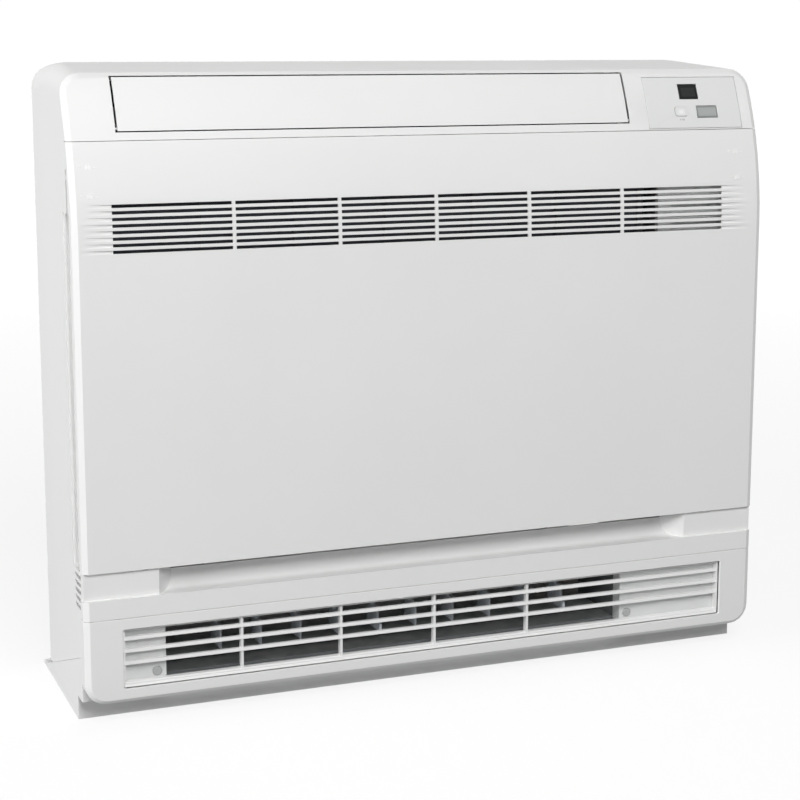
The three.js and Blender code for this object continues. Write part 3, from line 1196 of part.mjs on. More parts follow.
function makePipes() {
  const { x, z, spread, gas, liquid, start } = PIPES;
  for (const [name, centre, radius] of [["gas_pipe", x - spread, gas], ["liquid_pipe", x + spread, liquid]]) {
    const run = tube([[centre, start, z], [centre, start + 30, z], [centre, BACK - 4, z]], radius, 8, 4);
    const nut = rodY(centre, z, radius + 4, BACK - 36, BACK - 18, 6);
    piece(name, join(run, nut), COPPER, 0.35, 0.9);
  }
  // Clip that carries both pipes on the floor of the base.
  const front = start + 10;
  const half = spread * 2;
  const head = box(x - half, x + half, front, front + 10, z - 28, z + 10);
  const leg = box(x - half, x + half, front + 4, front + 7, BASE_WALL + 2, z);
  const foot = box(x - half, x + half, front - 6, front + 16, BASE_WALL + GAP, BASE_WALL + 3);
  const holes = [
    rodY(x - spread, z, gas + GAP, front - 1, front + 11, 12),
    rodY(x + spread, z, liquid + GAP, front - 1, front + 11, 12),
  ];
  piece("pipe_clip", cut(join(head, foot, leg), ...holes), STEEL, 0.5, 0.7);
}

makeBase();
makeFrontCase();
makeRearCase();
makeFrontPanel();
makeFascia();
makeOutletGrille();
makeEndPlates();
makeScrewCaps();
makeLouver();
makeControls();
makeDisplayBoard();
makeLatches();
makeVanes();
makeTieBars();
makeLowerDuct();
makeAirDoor();
makeStepMotors();
makeFilter();
makeCoil();
makeDrainPan();
makePartition();
makeFan();
makeFanDrive();
makeDuctWalls();
makeUpperNozzle();
makeElectrics();
makePipes();

export default airConditioner;
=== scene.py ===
import json
import math

import bmesh
import bpy
from mathutils import Matrix, Vector
from mathutils.bvhtree import BVHTree


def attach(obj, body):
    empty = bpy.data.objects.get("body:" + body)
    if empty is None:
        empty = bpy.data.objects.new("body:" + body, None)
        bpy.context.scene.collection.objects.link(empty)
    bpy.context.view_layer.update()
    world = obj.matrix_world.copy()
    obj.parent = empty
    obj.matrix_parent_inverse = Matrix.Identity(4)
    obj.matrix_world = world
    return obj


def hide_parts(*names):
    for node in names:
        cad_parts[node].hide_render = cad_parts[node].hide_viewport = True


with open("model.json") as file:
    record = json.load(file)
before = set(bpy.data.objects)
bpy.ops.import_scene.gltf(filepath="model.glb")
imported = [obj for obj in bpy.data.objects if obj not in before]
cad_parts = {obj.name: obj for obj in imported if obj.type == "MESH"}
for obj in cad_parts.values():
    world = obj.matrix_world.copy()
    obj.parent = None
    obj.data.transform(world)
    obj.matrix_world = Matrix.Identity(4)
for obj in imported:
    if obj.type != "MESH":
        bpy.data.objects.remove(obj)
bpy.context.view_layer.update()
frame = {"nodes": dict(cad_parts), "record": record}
nodes = frame["nodes"]
mm = 0.001
print("frame loaded:", len(nodes), "nodes")

# camera, lights and floor
viewPoint = {
    "place": (-0.7254, -1.7700, 0.6187),
    "turn": 22.341,      # degrees to the right of straight ahead
    "down": 10.475,
    "lens": 87.2, "sensor": 36,      # mm
    "farthest": 50,
}


def addCamera():
    data = bpy.data.cameras.new("camera")
    data.lens = viewPoint["lens"]
    data.sensor_width = viewPoint["sensor"]
    data.clip_end = viewPoint["farthest"]
    camera = bpy.data.objects.new("camera", data)
    bpy.context.collection.objects.link(camera)
    camera.location = viewPoint["place"]
    camera.rotation_euler = (math.radians(90 - viewPoint["down"]), 0, math.radians(-viewPoint["turn"]))
    bpy.context.scene.camera = camera


studio = {
    "keyPlace": (-0.6, -3.15, 2.8), "keySize": 1.9, "keyPower": 118,
    "sidePlace": (-3.3, -0.5, 0.9), "sideSize": 1.5, "sidePower": 60,
    "skyColor": (0.98, 0.99, 1.0), "skyAbove": 0.05, "skyBelow": 0.3,
    "floorColor": (0.2, 0.2, 0.2), "floorGlow": (0.82, 0.98), "glowFrom": (0.9, 4.0),
    "domeRadius": 22, "domeGlow": 1.0,
    "floorRoughness": 0.9, "floorSpecular": 0.1,
    "horizon": 0.3,                  # half height of the sky's soft change of strength
    "aim": (0, 0, 0.35),
}


def addAreaLight(name, place, size, power):
    data = bpy.data.lights.new(name, "AREA")
    data.size = size
    data.energy = power
    lamp = bpy.data.objects.new(name, data)
    bpy.context.collection.objects.link(lamp)
    lamp.location = place
    away = Vector(studio["aim"]) - Vector(place)
    lamp.rotation_euler = away.to_track_quat("-Z", "Y").to_euler()


def addStageObject(name, shape):
    mesh = bpy.data.meshes.new(name)
    shape.to_mesh(mesh)
    shape.free()
    thing = bpy.data.objects.new(name, mesh)
    bpy.context.collection.objects.link(thing)
    thing.visible_diffuse = False  # it shows, but sends no light back onto the product
    material = bpy.data.materials.new(name + "Paper")
    material.use_nodes = True
    mesh.materials.append(material)
    return material.node_tree.nodes["Principled BSDF"]


def addSky():
    # dim light from above and a little more from below, as from a pale studio floor
    world = bpy.data.worlds.new("studioSky")
    world.use_nodes = True
    tree = world.node_tree
    sky = tree.nodes["Background"]
    sky.inputs["Color"].default_value = (*studio["skyColor"], 1)
    parts = tree.nodes.new("ShaderNodeSeparateXYZ")
    tree.links.new(tree.nodes.new("ShaderNodeTexCoord").outputs["Generated"], parts.inputs[0])
    ramp = tree.nodes.new("ShaderNodeMapRange")
    tree.links.new(parts.outputs["Z"], ramp.inputs["Value"])
    for label, value in (
        ("From Min", -studio["horizon"]), ("From Max", studio["horizon"]),
        ("To Min", studio["skyBelow"]), ("To Max", studio["skyAbove"]),
    ):
        ramp.inputs[label].default_value = value
    tree.links.new(ramp.outputs["Result"], sky.inputs["Strength"])
    bpy.context.scene.world = world


def fadeFloor(paper):
    # the floor's own glow grows away from the product until it is as bright as the dome
    tree = paper.id_data
    length = tree.nodes.new("ShaderNodeVectorMath")
    length.operation = "LENGTH"
    tree.links.new(tree.nodes.new("ShaderNodeTexCoord").outputs["Object"], length.inputs[0])
    ramp = tree.nodes.new("ShaderNodeMapRange")
    tree.links.new(length.outputs["Value"], ramp.inputs["Value"])
    settings = zip(("From Min", "From Max", "To Min", "To Max"), (*studio["glowFrom"], *studio["floorGlow"]))
    for label, value in settings:
        ramp.inputs[label].default_value = value
    tree.links.new(ramp.outputs["Result"], paper.inputs["Emission Strength"])


def addStudio():
    addAreaLight("keyLight", studio["keyPlace"], studio["keySize"], studio["keyPower"])
    addAreaLight("sideLight", studio["sidePlace"], studio["sideSize"], studio["sidePower"])
    addSky()
    bpy.context.scene.view_settings.view_transform = "Standard"
    floor = bmesh.new()
    bmesh.ops.create_grid(floor, x_segments=1, y_segments=1, size=studio["domeRadius"])
    paper = addStageObject("studioFloor", floor)
    paper.inputs["Base Color"].default_value = (*studio["floorColor"], 1)
    paper.inputs["Roughness"].default_value = studio["floorRoughness"]
    paper.inputs["Specular IOR Level"].default_value = studio["floorSpecular"]
    paper.inputs["Emission Color"].default_value = (1, 1, 1, 1)
    fadeFloor(paper)
    dome = bmesh.new()
    bmesh.ops.create_uvsphere(dome, u_segments=48, v_segments=24, radius=studio["domeRadius"])
    bmesh.ops.reverse_faces(dome, faces=dome.faces)
    glow = addStageObject("studioDome", dome)
    glow.inputs["Base Color"].default_value = (0, 0, 0, 1)
    glow.inputs["Roughness"].default_value = 1.0
    glow.inputs["Emission Color"].default_value = (1, 1, 1, 1)
    glow.inputs["Emission Strength"].default_value = studio["domeGlow"]


addCamera()
addStudio()
print("camera and studio ready")

# finishes

def newGroup(name, inputs, outputs):
    group = bpy.data.node_groups.new(name, "ShaderNodeTree")
    for label, kind, value in inputs:
        socket = group.interface.new_socket(name=label, in_out="INPUT", socket_type=kind)
        socket.default_value = value
    for label, kind in outputs:
        group.interface.new_socket(name=label, in_out="OUTPUT", socket_type=kind)
    start = group.nodes.new("NodeGroupInput")
    end = group.nodes.new("NodeGroupOutput")
    return group, start, end


def noiseNode(tree, vector, scale, detail=2.0, roughness=0.5):
    node = tree.nodes.new("ShaderNodeTexNoise")
    node.inputs["Detail"].default_value = detail
    node.inputs["Roughness"].default_value = roughness
    if isinstance(scale, (int, float)):
        node.inputs["Scale"].default_value = scale
    else:
        tree.links.new(scale, node.inputs["Scale"])
    tree.links.new(vector, node.inputs["Vector"])
    return node.outputs["Fac"]


def mathNode(tree, operation, first, second):
    node = tree.nodes.new("ShaderNodeMath")
    node.operation = operation
    for socket, value in zip(node.inputs, (first, second)):
        if isinstance(value, (int, float)):
            socket.default_value = value
        else:
            tree.links.new(value, socket)
    return node.outputs[0]


def rangeNode(tree, value, low, high, newLow, newHigh):
    node = tree.nodes.new("ShaderNodeMapRange")
    tree.links.new(value, node.inputs["Value"])
    for label, setting in (("From Min", low), ("From Max", high), ("To Min", newLow), ("To Max", newHigh)):
        if isinstance(setting, (int, float)):
            node.inputs[label].default_value = setting
        else:
            tree.links.new(setting, node.inputs[label])
    return node.outputs["Result"]


def mixColors(tree, share, first, second, blend="MIX"):
    node = tree.nodes.new("ShaderNodeMix")
    node.data_type = "RGBA"
    node.blend_type = blend
    for socket, value in ((node.inputs[0], share), (node.inputs[6], first), (node.inputs[7], second)):
        if isinstance(value, (int, float)):
            socket.default_value = value
        elif isinstance(value, tuple):
            socket.default_value = (*value, 1)
        else:
            tree.links.new(value, socket)
    return node.outputs[2]


def makeGrainGroup():
    # fine spark-eroded grain of a moulding tool, with slow unevenness in its gloss
    group, start, end = newGroup(
        "mouldGrain",
        [("Vector", "NodeSocketVector", (0, 0, 0)), ("Grain Scale", "NodeSocketFloat", 900.0),
         ("Rough Low", "NodeSocketFloat", 0.35), ("Rough High", "NodeSocketFloat", 0.5)],
        [("Height", "NodeSocketFloat"), ("Roughness", "NodeSocketFloat"), ("Tone", "NodeSocketFloat")],
    )
    vector = start.outputs["Vector"]
    fine = noiseNode(group, vector, start.outputs["Grain Scale"], 3.0, 0.6)
    slow = noiseNode(group, vector, 6.0, 2.0)
    smear = noiseNode(group, vector, 38.0, 3.0)
    slowShare = mathNode(group, "MULTIPLY", slow, 0.7)
    mixed = mathNode(group, "ADD", slowShare, mathNode(group, "MULTIPLY", smear, 0.3))
    rough = rangeNode(group, mixed, 0.35, 0.65, start.outputs["Rough Low"], start.outputs["Rough High"])
    group.links.new(fine, end.inputs["Height"])
    group.links.new(rough, end.inputs["Roughness"])
    group.links.new(rangeNode(group, mixed, 0.3, 0.7, 0.0, 1.0), end.inputs["Tone"])
    return group


def makeDustGroup():
    # dust that settles on faces turned upwards, and thins out in patches
    group, start, end = newGroup(
        "settledDust",
        [("Vector", "NodeSocketVector", (0, 0, 0)), ("Amount", "NodeSocketFloat", 0.2)],
        [("Mask", "NodeSocketFloat")],
    )
    face = group.nodes.new("ShaderNodeNewGeometry")
    parts = group.nodes.new("ShaderNodeSeparateXYZ")
    group.links.new(face.outputs["Normal"], parts.inputs[0])
    upward = rangeNode(group, parts.outputs["Z"], 0.35, 0.95, 0.0, 1.0)
    patches = rangeNode(group, noiseNode(group, start.outputs["Vector"], 70.0, 4.0), 0.35, 0.7, 0.2, 1.0)
    mask = mathNode(group, "MULTIPLY", mathNode(group, "MULTIPLY", upward, patches), start.outputs["Amount"])
    group.links.new(mask, end.inputs["Mask"])
    return group


def makeBrushGroup():
    # drawn or rolled metal: streaks along one axis, blotches of dullness across it
    group, start, end = newGroup(
        "rolledMetal",
        [("Vector", "NodeSocketVector", (0, 0, 0)), ("Along", "NodeSocketVector", (40, 900, 900))],
        [("Height", "NodeSocketFloat"), ("Dullness", "NodeSocketFloat")],
    )
    stretch = group.nodes.new("ShaderNodeVectorMath")
    stretch.operation = "MULTIPLY"
    group.links.new(start.outputs["Vector"], stretch.inputs[0])
    group.links.new(start.outputs["Along"], stretch.inputs[1])
    streaks = noiseNode(group, stretch.outputs[0], 1.0, 3.0, 0.6)
    blotches = noiseNode(group, start.outputs["Vector"], 55.0, 4.0, 0.6)
    group.links.new(streaks, end.inputs["Height"])
    group.links.new(rangeNode(group, blotches, 0.35, 0.7, 0.0, 1.0), end.inputs["Dullness"])
    return group


groups = {"grain": makeGrainGroup(), "dust": makeDustGroup(), "metal": makeBrushGroup()}
finishes = {}


def startMaterial(name):
    material = bpy.data.materials.new(name)
    material.use_nodes = True
    tree = material.node_tree
    shader = tree.nodes["Principled BSDF"]
    place = tree.nodes.new("ShaderNodeTexCoord").outputs["Object"]
    finishes[name] = material
    return material, tree, shader, place


def useGroup(tree, kind, place, **values):
    node = tree.nodes.new("ShaderNodeGroup")
    node.node_tree = groups[kind]
    tree.links.new(place, node.inputs["Vector"])
    for label, value in values.items():
        node.inputs[label.replace("_", " ")].default_value = value
    return node


def addBump(tree, shader, height, strength, distance):
    bump = tree.nodes.new("ShaderNodeBump")
    bump.inputs["Strength"].default_value = strength
    bump.inputs["Distance"].default_value = distance
    tree.links.new(height, bump.inputs["Height"])
    tree.links.new(bump.outputs["Normal"], shader.inputs["Normal"])


dustColor = (0.62, 0.6, 0.56)
grainDepth = 0.04 * mm


def plastic(name, color, low, high, grain=900.0, dust=0.12, shade=0.94):
    material, tree, shader, place = startMaterial(name)
    skin = useGroup(tree, "grain", place, Grain_Scale=grain, Rough_Low=low, Rough_High=high)
    settled = useGroup(tree, "dust", place, Amount=dust)
    darker = tuple(channel * shade for channel in color)
    toned = mixColors(tree, skin.outputs["Tone"], darker, color)
    tree.links.new(mixColors(tree, settled.outputs["Mask"], toned, dustColor), shader.inputs["Base Color"])
    tree.links.new(skin.outputs["Roughness"], shader.inputs["Roughness"])
    addBump(tree, shader, skin.outputs["Height"], 0.25, grainDepth)
    shader.inputs["IOR"].default_value = 1.5
    return material


def metal(name, color, dullColor, low, high, along=(40, 900, 900)):
    material, tree, shader, place = startMaterial(name)
    skin = useGroup(tree, "metal", place, Along=along)
    tree.links.new(mixColors(tree, skin.outputs["Dullness"], color, dullColor), shader.inputs["Base Color"])
    tree.links.new(rangeNode(tree, skin.outputs["Dullness"], 0, 1, low, high), shader.inputs["Roughness"])
    addBump(tree, shader, skin.outputs["Height"], 0.2, 0.05 * mm)
    shader.inputs["Metallic"].default_value = 1.0
    return material


def makeFinishes():
    plastic("whiteAbs", (0.86, 0.862, 0.855), 0.34, 0.44, dust=0.05, shade=0.985)
    plastic("greyAbs", (0.74, 0.75, 0.745), 0.36, 0.48, dust=0.08, shade=0.97)
    plastic("insertAbs", (0.80, 0.805, 0.80), 0.3, 0.4, dust=0.05, shade=0.985)
    plastic("vaneAbs", (0.50, 0.53, 0.56), 0.4, 0.55, dust=0.25, shade=0.93)
    plastic("capAbs", (0.44, 0.45, 0.45), 0.35, 0.45, dust=0.05, shade=0.96)
    # painted shade: dark grey-green colour of the lower duct stands in for the shadow on the duct's sloping
    # floor
    plastic("ductGrey", (0.20, 0.215, 0.22), 0.45, 0.6, dust=0.25, shade=0.9)
    plastic("doorAbs", (0.30, 0.33, 0.33), 0.45, 0.6, dust=0.3, shade=0.9)
    # painted shade: near-black, bluish colour on the inner duct parts stands in for the darkness deep inside
    # the unit
    plastic("ductPaintedShade", (0.022, 0.026, 0.034), 0.5, 0.7, dust=0.25, shade=0.7)
    plastic("markWhite", (0.93, 0.932, 0.925), 0.3, 0.4, dust=0.0, shade=0.99)
    plastic("printGrey", (0.30, 0.31, 0.31), 0.4, 0.5, dust=0.0, shade=0.95)
    plastic("netBlack", (0.030, 0.034, 0.045), 0.6, 0.8, grain=2200.0, dust=0.35, shade=0.8)
    plastic("boardGreen", (0.02, 0.14, 0.06), 0.3, 0.4, dust=0.2, shade=0.8)
    plastic("rubberBlack", (0.02, 0.02, 0.02), 0.6, 0.8, dust=0.2, shade=0.8)
    metal("galvanised", (0.62, 0.64, 0.66), (0.45, 0.47, 0.49), 0.28, 0.5)
    metal("finAluminium", (0.80, 0.83, 0.86), (0.62, 0.66, 0.70), 0.3, 0.5, (900, 900, 40))
    metal("copperTube", (0.80, 0.42, 0.27), (0.45, 0.22, 0.14), 0.22, 0.45, (900, 900, 60))
    metal("brassNut", (0.75, 0.58, 0.27), (0.55, 0.42, 0.2), 0.25, 0.45)
    makeWindows()


def makeWindows():
    # smoked display window with faint unevenness in its gloss
    material, tree, shader, place = startMaterial("displayBlack")
    skin = useGroup(tree, "grain", place, Grain_Scale=300.0, Rough_Low=0.16, Rough_High=0.24)
    tree.links.new(mixColors(tree, skin.outputs["Tone"], (0.006, 0.007, 0.007), (0.010, 0.011, 0.011)),
                   shader.inputs["Base Color"])
    tree.links.new(skin.outputs["Roughness"], shader.inputs["Roughness"])
    shader.inputs["Specular IOR Level"].default_value = 0.2
    field = plastic("displayField", (0.014, 0.017, 0.016), 0.3, 0.4, dust=0.0, shade=0.9)
    field.node_tree.nodes["Principled BSDF"].inputs["Specular IOR Level"].default_value = 0.25
    plastic("receiverSmoke", (0.42, 0.44, 0.43), 0.2, 0.3, dust=0.0, shade=0.95)
    plastic("receiverRim", (0.25, 0.27, 0.26), 0.3, 0.4, dust=0.0, shade=0.95)


makeFinishes()
print("finishes:", len(finishes))

# frame nodes, cleaned and given rounded edges
bodyOf = {}
for bodyName, members in frame["record"]["behaviour"]["bodies"].items():
    for member in members:
        bodyOf[member] = bodyName


def finishPiece(piece, finish, body):
    for material in finish if isinstance(finish, list) else [finish]:
        piece.data.materials.append(finishes[material])
    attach(piece, body)
    return piece


def addPiece(name, mesh):
    piece = bpy.data.objects.new(name, mesh)
    bpy.context.collection.objects.link(piece)
    return piece


def settleModifiers(piece):
    # turns the modifiers into mesh, so that the piece is plain geometry
    graph = bpy.context.evaluated_depsgraph_get()
    mesh = bpy.data.meshes.new_from_object(piece.evaluated_get(graph))
    old = piece.data
    piece.modifiers.clear()
    piece.data = mesh
    bpy.data.meshes.remove(old)
    mesh.name = piece.name


def cleanCopy(node, name):
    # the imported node's triangles, welded; flat areas are joined, then cut into well-behaved faces
    shape = bmesh.new()
    shape.from_mesh(nodes[node].data)
    bmesh.ops.remove_doubles(shape, verts=shape.verts, dist=0.000004)
    bmesh.ops.dissolve_limit(shape, angle_limit=math.radians(0.05), verts=shape.verts, edges=shape.edges)
    manySided = [face for face in shape.faces if len(face.verts) > 4]
    bmesh.ops.triangulate(shape, faces=manySided)
    bmesh.ops.recalc_face_normals(shape, faces=shape.faces)
    mesh = bpy.data.meshes.new(name)
    shape.to_mesh(mesh)
    shape.free()
    return mesh


def roundEdges(piece, width, angle=28, segments=2):
    bevel = piece.modifiers.new("edges", "BEVEL")
    bevel.width = width
    bevel.segments = segments
    bevel.limit_method = "ANGLE"
    bevel.angle_limit = math.radians(angle)
    bevel.use_clamp_overlap = True
    bevel.miter_outer = "MITER_SHARP"
    flat = piece.modifiers.new("flatAreas", "WEIGHTED_NORMAL")
    flat.weight = 100
    flat.keep_sharp = True
    settleModifiers(piece)


def dress(node, finish, width, angle=28, segments=2):
    name = "".join(part.capitalize() for part in node.split("_")) + "Skin"
    name = name[0].lower() + name[1:]
    mesh = cleanCopy(node, name)
    mesh.shade_smooth()
    mesh.set_sharp_from_angle(angle=math.radians(angle))
    piece = addPiece(name, mesh)
    roundEdges(piece, width, angle, segments)
    finishPiece(piece, finish, bodyOf[node])
    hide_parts(node)
    return piece


skins = {
    # node: finish, edge radius in mm
    "front_case": ("whiteAbs", 0.5),
    "rear_case": ("whiteAbs", 0.5),
    "base_pan": ("whiteAbs", 0.6),
    "front_panel": ("whiteAbs", 0.6),
    "lower_fascia": ("whiteAbs", 0.5),
    "outlet_grille": ("whiteAbs", 0.4),
    "outlet_plate_left": ("greyAbs", 0.35),
    "outlet_plate_right": ("greyAbs", 0.35),
    "screw_cap_left": ("capAbs", 0.25),
    "screw_cap_right": ("capAbs", 0.25),
    "upper_louver": ("whiteAbs", 0.5),
    "control_panel": ("insertAbs", 0.4),
    "display_window": ("displayBlack", 0.3),
    "receiver_window": ("receiverSmoke", 0.3),
    "power_key": ("insertAbs", 0.35),
    "latch_left": ("insertAbs", 0.4),
    "latch_right": ("insertAbs", 0.4),
}


def dressShell():
    for node, (finish, width) in skins.items():
        dress(node, finish, width * mm)
        print("skin:", node)


dressShell()

innerFinishes = {
    "display_board": "boardGreen",
    "control_board": "boardGreen",
    # painted shade: the lower duct is coloured dark grey-green for the shadow on its floor
    "lower_duct": "ductGrey",
    # painted shade: the nozzle, partition, duct walls and filter frame get a near-black colour for the
    # darkness inside
    "upper_nozzle": "ductPaintedShade",
    "fan_partition": "ductPaintedShade",
    "duct_wall_left": "ductPaintedShade",
    "duct_wall_right": "ductPaintedShade",
    "lower_air_door": "doorAbs",
    "filter_frame": "ductPaintedShade",
    "filter_net": "netBlack",
    "tie_bar_left": "vaneAbs",
    "tie_bar_right": "vaneAbs",
    "louver_motor": "insertAbs",
    "air_door_motor": "insertAbs",
    "outlet_switch": "insertAbs",
    "drain_pan": "greyAbs",
    "fan_wheel": "greyAbs",
    "electric_box": "galvanised",
    "electric_cover": "greyAbs",
    "cable_clamp": "rubberBlack",
    "terminal_block": "rubberBlack",
    "coil_fins": "finAluminium",
    "coil_end_left": "copperTube",
    "coil_end_right": "copperTube",
    "motor_shaft": "galvanised",
    "fan_nut": "brassNut",
    "fan_motor": "galvanised",
    "motor_bracket": "galvanised",
    "gas_pipe": "copperTube",
    "liquid_pipe": "copperTube",
    "pipe_clip": "galvanised",
}
for index in range(1, 11):
    innerFinishes[f"vane_{index:02d}"] = "vaneAbs"


def paintInside():
    for node, finish in innerFinishes.items():
        mesh = nodes[node].data
        for place in range(len(mesh.materials)):
            mesh.materials[place] = finishes[finish]


paintInside()
print("inner nodes painted:", len(innerFinishes))

# repeated things, made by Geometry Nodes

def newTree(name, inputs):
    tree = bpy.data.node_groups.new(name, "GeometryNodeTree")
    tree.interface.new_socket(name="Geometry", in_out="INPUT", socket_type="NodeSocketGeometry")
    for label, kind, value in inputs:
        socket = tree.interface.new_socket(name=label, in_out="INPUT", socket_type=kind)
        if value is not None:
            socket.default_value = value
    tree.interface.new_socket(name="Geometry", in_out="OUTPUT", socket_type="NodeSocketGeometry")
    return tree, tree.nodes.new("NodeGroupInput"), tree.nodes.new("NodeGroupOutput")


def endTree(tree, start, end, instances):
    real = tree.nodes.new("GeometryNodeRealizeInstances")
    paint = tree.nodes.new("GeometryNodeSetMaterial")
    tree.links.new(instances, real.inputs["Geometry"])
    tree.links.new(real.outputs["Geometry"], paint.inputs["Geometry"])
    tree.links.new(start.outputs["Finish"], paint.inputs["Material"])
    tree.links.new(paint.outputs["Geometry"], end.inputs["Geometry"])


def combine(tree, x, y, z):
    node = tree.nodes.new("ShaderNodeCombineXYZ")
    for socket, value in zip(node.inputs, (x, y, z)):
        if isinstance(value, (int, float)):
            socket.default_value = value
        else:
            tree.links.new(value, socket)
    return node.outputs[0]


def grow(tree, name, settings, body, points=()):
    # runs a tree over a mesh of bare points and keeps the result as plain mesh
    mesh = bpy.data.meshes.new(name)
    mesh.from_pydata([point[0] for point in points], [], [])
    if points:
        facing = mesh.attributes.new("facing", "FLOAT_VECTOR", "POINT")
        for place, point in enumerate(points):
            facing.data[place].vector = point[1]
    piece = addPiece(name, mesh)
    modifier = piece.modifiers.new("grow", "NODES")
    modifier.node_group = tree
    for item in tree.interface.items_tree:
        if item.in_out == "INPUT" and item.name in settings:
            modifier[item.identifier] = settings[item.name]
    settleModifiers(piece)
    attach(piece, body)
    print("grown:", name, len(piece.data.polygons))
    return piece


def makeScrewTree():
    # pan head with a cross recess on each point, turned to face along "facing"
    tree, start, end = newTree("screwSet", [
        ("Head Radius", "NodeSocketFloat", 3.2 * mm), ("Head Height", "NodeSocketFloat", 1.7 * mm),
        ("Finish", "NodeSocketMaterial", None),
    ])
    radius = start.outputs["Head Radius"]
    height = start.outputs["Head Height"]
    head = tree.nodes.new("GeometryNodeMeshCone")
    head.inputs["Vertices"].default_value = 24
    tree.links.new(mathNode(tree, "MULTIPLY", radius, 0.72), head.inputs["Radius Top"])
    tree.links.new(radius, head.inputs["Radius Bottom"])
    tree.links.new(height, head.inputs["Depth"])
    carve = tree.nodes.new("GeometryNodeMeshBoolean")
    carve.operation = "DIFFERENCE"
    tree.links.new(head.outputs["Mesh"], carve.inputs["Mesh 1"])
    long = mathNode(tree, "MULTIPLY", radius, 0.95)
    thin = mathNode(tree, "MULTIPLY", radius, 0.24)
    for size in ((long, thin), (thin, long)):
        arm = tree.nodes.new("GeometryNodeMeshCube")
        tree.links.new(combine(tree, *size, height), arm.inputs["Size"])
        lift = tree.nodes.new("GeometryNodeTransform")
        tree.links.new(arm.outputs["Mesh"], lift.inputs["Geometry"])
        tree.links.new(combine(tree, 0.0, 0.0, height), lift.inputs["Translation"])
        tree.links.new(lift.outputs["Geometry"], carve.inputs["Mesh 2"])
    direction = tree.nodes.new("GeometryNodeInputNamedAttribute")
    direction.data_type = "FLOAT_VECTOR"
    direction.inputs["Name"].default_value = "facing"
    turn = tree.nodes.new("FunctionNodeAlignRotationToVector")
    turn.axis = "Z"
    tree.links.new(direction.outputs["Attribute"], turn.inputs["Vector"])
    spread = tree.nodes.new("GeometryNodeInstanceOnPoints")
    tree.links.new(start.outputs["Geometry"], spread.inputs["Points"])
    tree.links.new(carve.outputs["Mesh"], spread.inputs["Instance"])
    tree.links.new(turn.outputs["Rotation"], spread.inputs["Rotation"])
    endTree(tree, start, end, spread.outputs["Instances"])
    return tree


def makeRowTree(name):
    # "Count" bars of one size, "Step" apart, the first one centred on "First"
    tree, start, end = newTree(name, [
        ("Count", "NodeSocketInt", 10), ("First", "NodeSocketVector", (0, 0, 0)),
        ("Step", "NodeSocketVector", (0.001, 0, 0)), ("Bar", "NodeSocketVector", (0.001, 0.001, 0.1)),
        ("Finish", "NodeSocketMaterial", None),
    ])
    line = tree.nodes.new("GeometryNodeMeshLine")
    tree.links.new(start.outputs["Count"], line.inputs["Count"])
    tree.links.new(start.outputs["First"], line.inputs["Start Location"])
    tree.links.new(start.outputs["Step"], line.inputs["Offset"])
    bar = tree.nodes.new("GeometryNodeMeshCube")
    tree.links.new(start.outputs["Bar"], bar.inputs["Size"])
    spread = tree.nodes.new("GeometryNodeInstanceOnPoints")
    tree.links.new(line.outputs["Mesh"], spread.inputs["Points"])
    tree.links.new(bar.outputs["Mesh"], spread.inputs["Instance"])
    endTree(tree, start, end, spread.outputs["Instances"])
    return tree


trees = {"screws": makeScrewTree(), "row": makeRowTree("barRow")}

surfaces = {}


def surfaceAt(node, x, z):
    # point and outward direction where a line from the front meets the node
    if node not in surfaces:
        shape = bmesh.new()
        shape.from_mesh(nodes[node].data)
        surfaces[node] = BVHTree.FromBMesh(shape)
        shape.free()
    point, normal, _, _ = surfaces[node].ray_cast(Vector((x * mm, -1, z * mm)), Vector((0, 1, 0)))
    return point, normal


screws = {
    # node: head radius in mm, places x and z in mm
    "front_case": (3.4, [
        (-331, 180), (-331, 330), (-331, 470), (285, 166), (-140, 521), (110, 521), (290, 519),
    ]),
    "electric_cover": (2.6, [(246, 192), (326, 192), (246, 494), (326, 494)]),
}
screwHead = {"height": 1.6, "sunk": 0.05}  # mm


def addScrews():
    for node, (radius, places) in screws.items():
        points = []
        for x, z in places:
            point, normal = surfaceAt(node, x, z)
            points.append((point - normal * screwHead["sunk"] * mm, normal))
        name = "".join(part.capitalize() for part in node.split("_"))
        settings = {
            "Head Radius": radius * mm, "Head Height": screwHead["height"] * mm,
            "Finish": finishes["galvanised"],
        }
        grow(trees["screws"], "screws" + name, settings, bodyOf[node], points)


net = {"pitch": 2.6, "thread": 0.34, "margin": 1.5}  # mm
fins = {"pitch": 1.9, "thick": 0.16, "inset": 0.35}  # mm


def boxOf(node):
    corners = [vertex.co for vertex in nodes[node].data.vertices]
    alongAxes = [[corner[axis] for corner in corners] for axis in range(3)]
    return [(min(places), max(places)) for places in alongAxes]


def addNet():
    # woven threads of the filter, standing out on both sides of its sheet
    (x0, x1), (y0, y1), (z0, z1) = boxOf("filter_net")
    step, thread, margin = (net[label] * mm for label in ("pitch", "thread", "margin"))
    depth = y1 - y0 + thread
    middleX, middle, middleZ = (x0 + x1) / 2, (y0 + y1) / 2, (z0 + z1) / 2
    wide, high = x1 - x0 - margin, z1 - z0 - margin
    rows = {
        "netWarp": (int(wide / step), (x0 + margin, middle, middleZ), (step, 0, 0), (thread, depth, high)),
        "netWeft": (
            int(high / step), (middleX, middle, z0 + margin), (0, 0, step),
            (wide, depth - thread / 3, thread),
        ),
    }
    for name, (count, first, offset, bar) in rows.items():
        settings = {
            "Count": count, "First": first, "Step": offset, "Bar": bar, "Finish": finishes["netBlack"],
        }
        grow(trees["row"], name, settings, bodyOf["filter_net"])


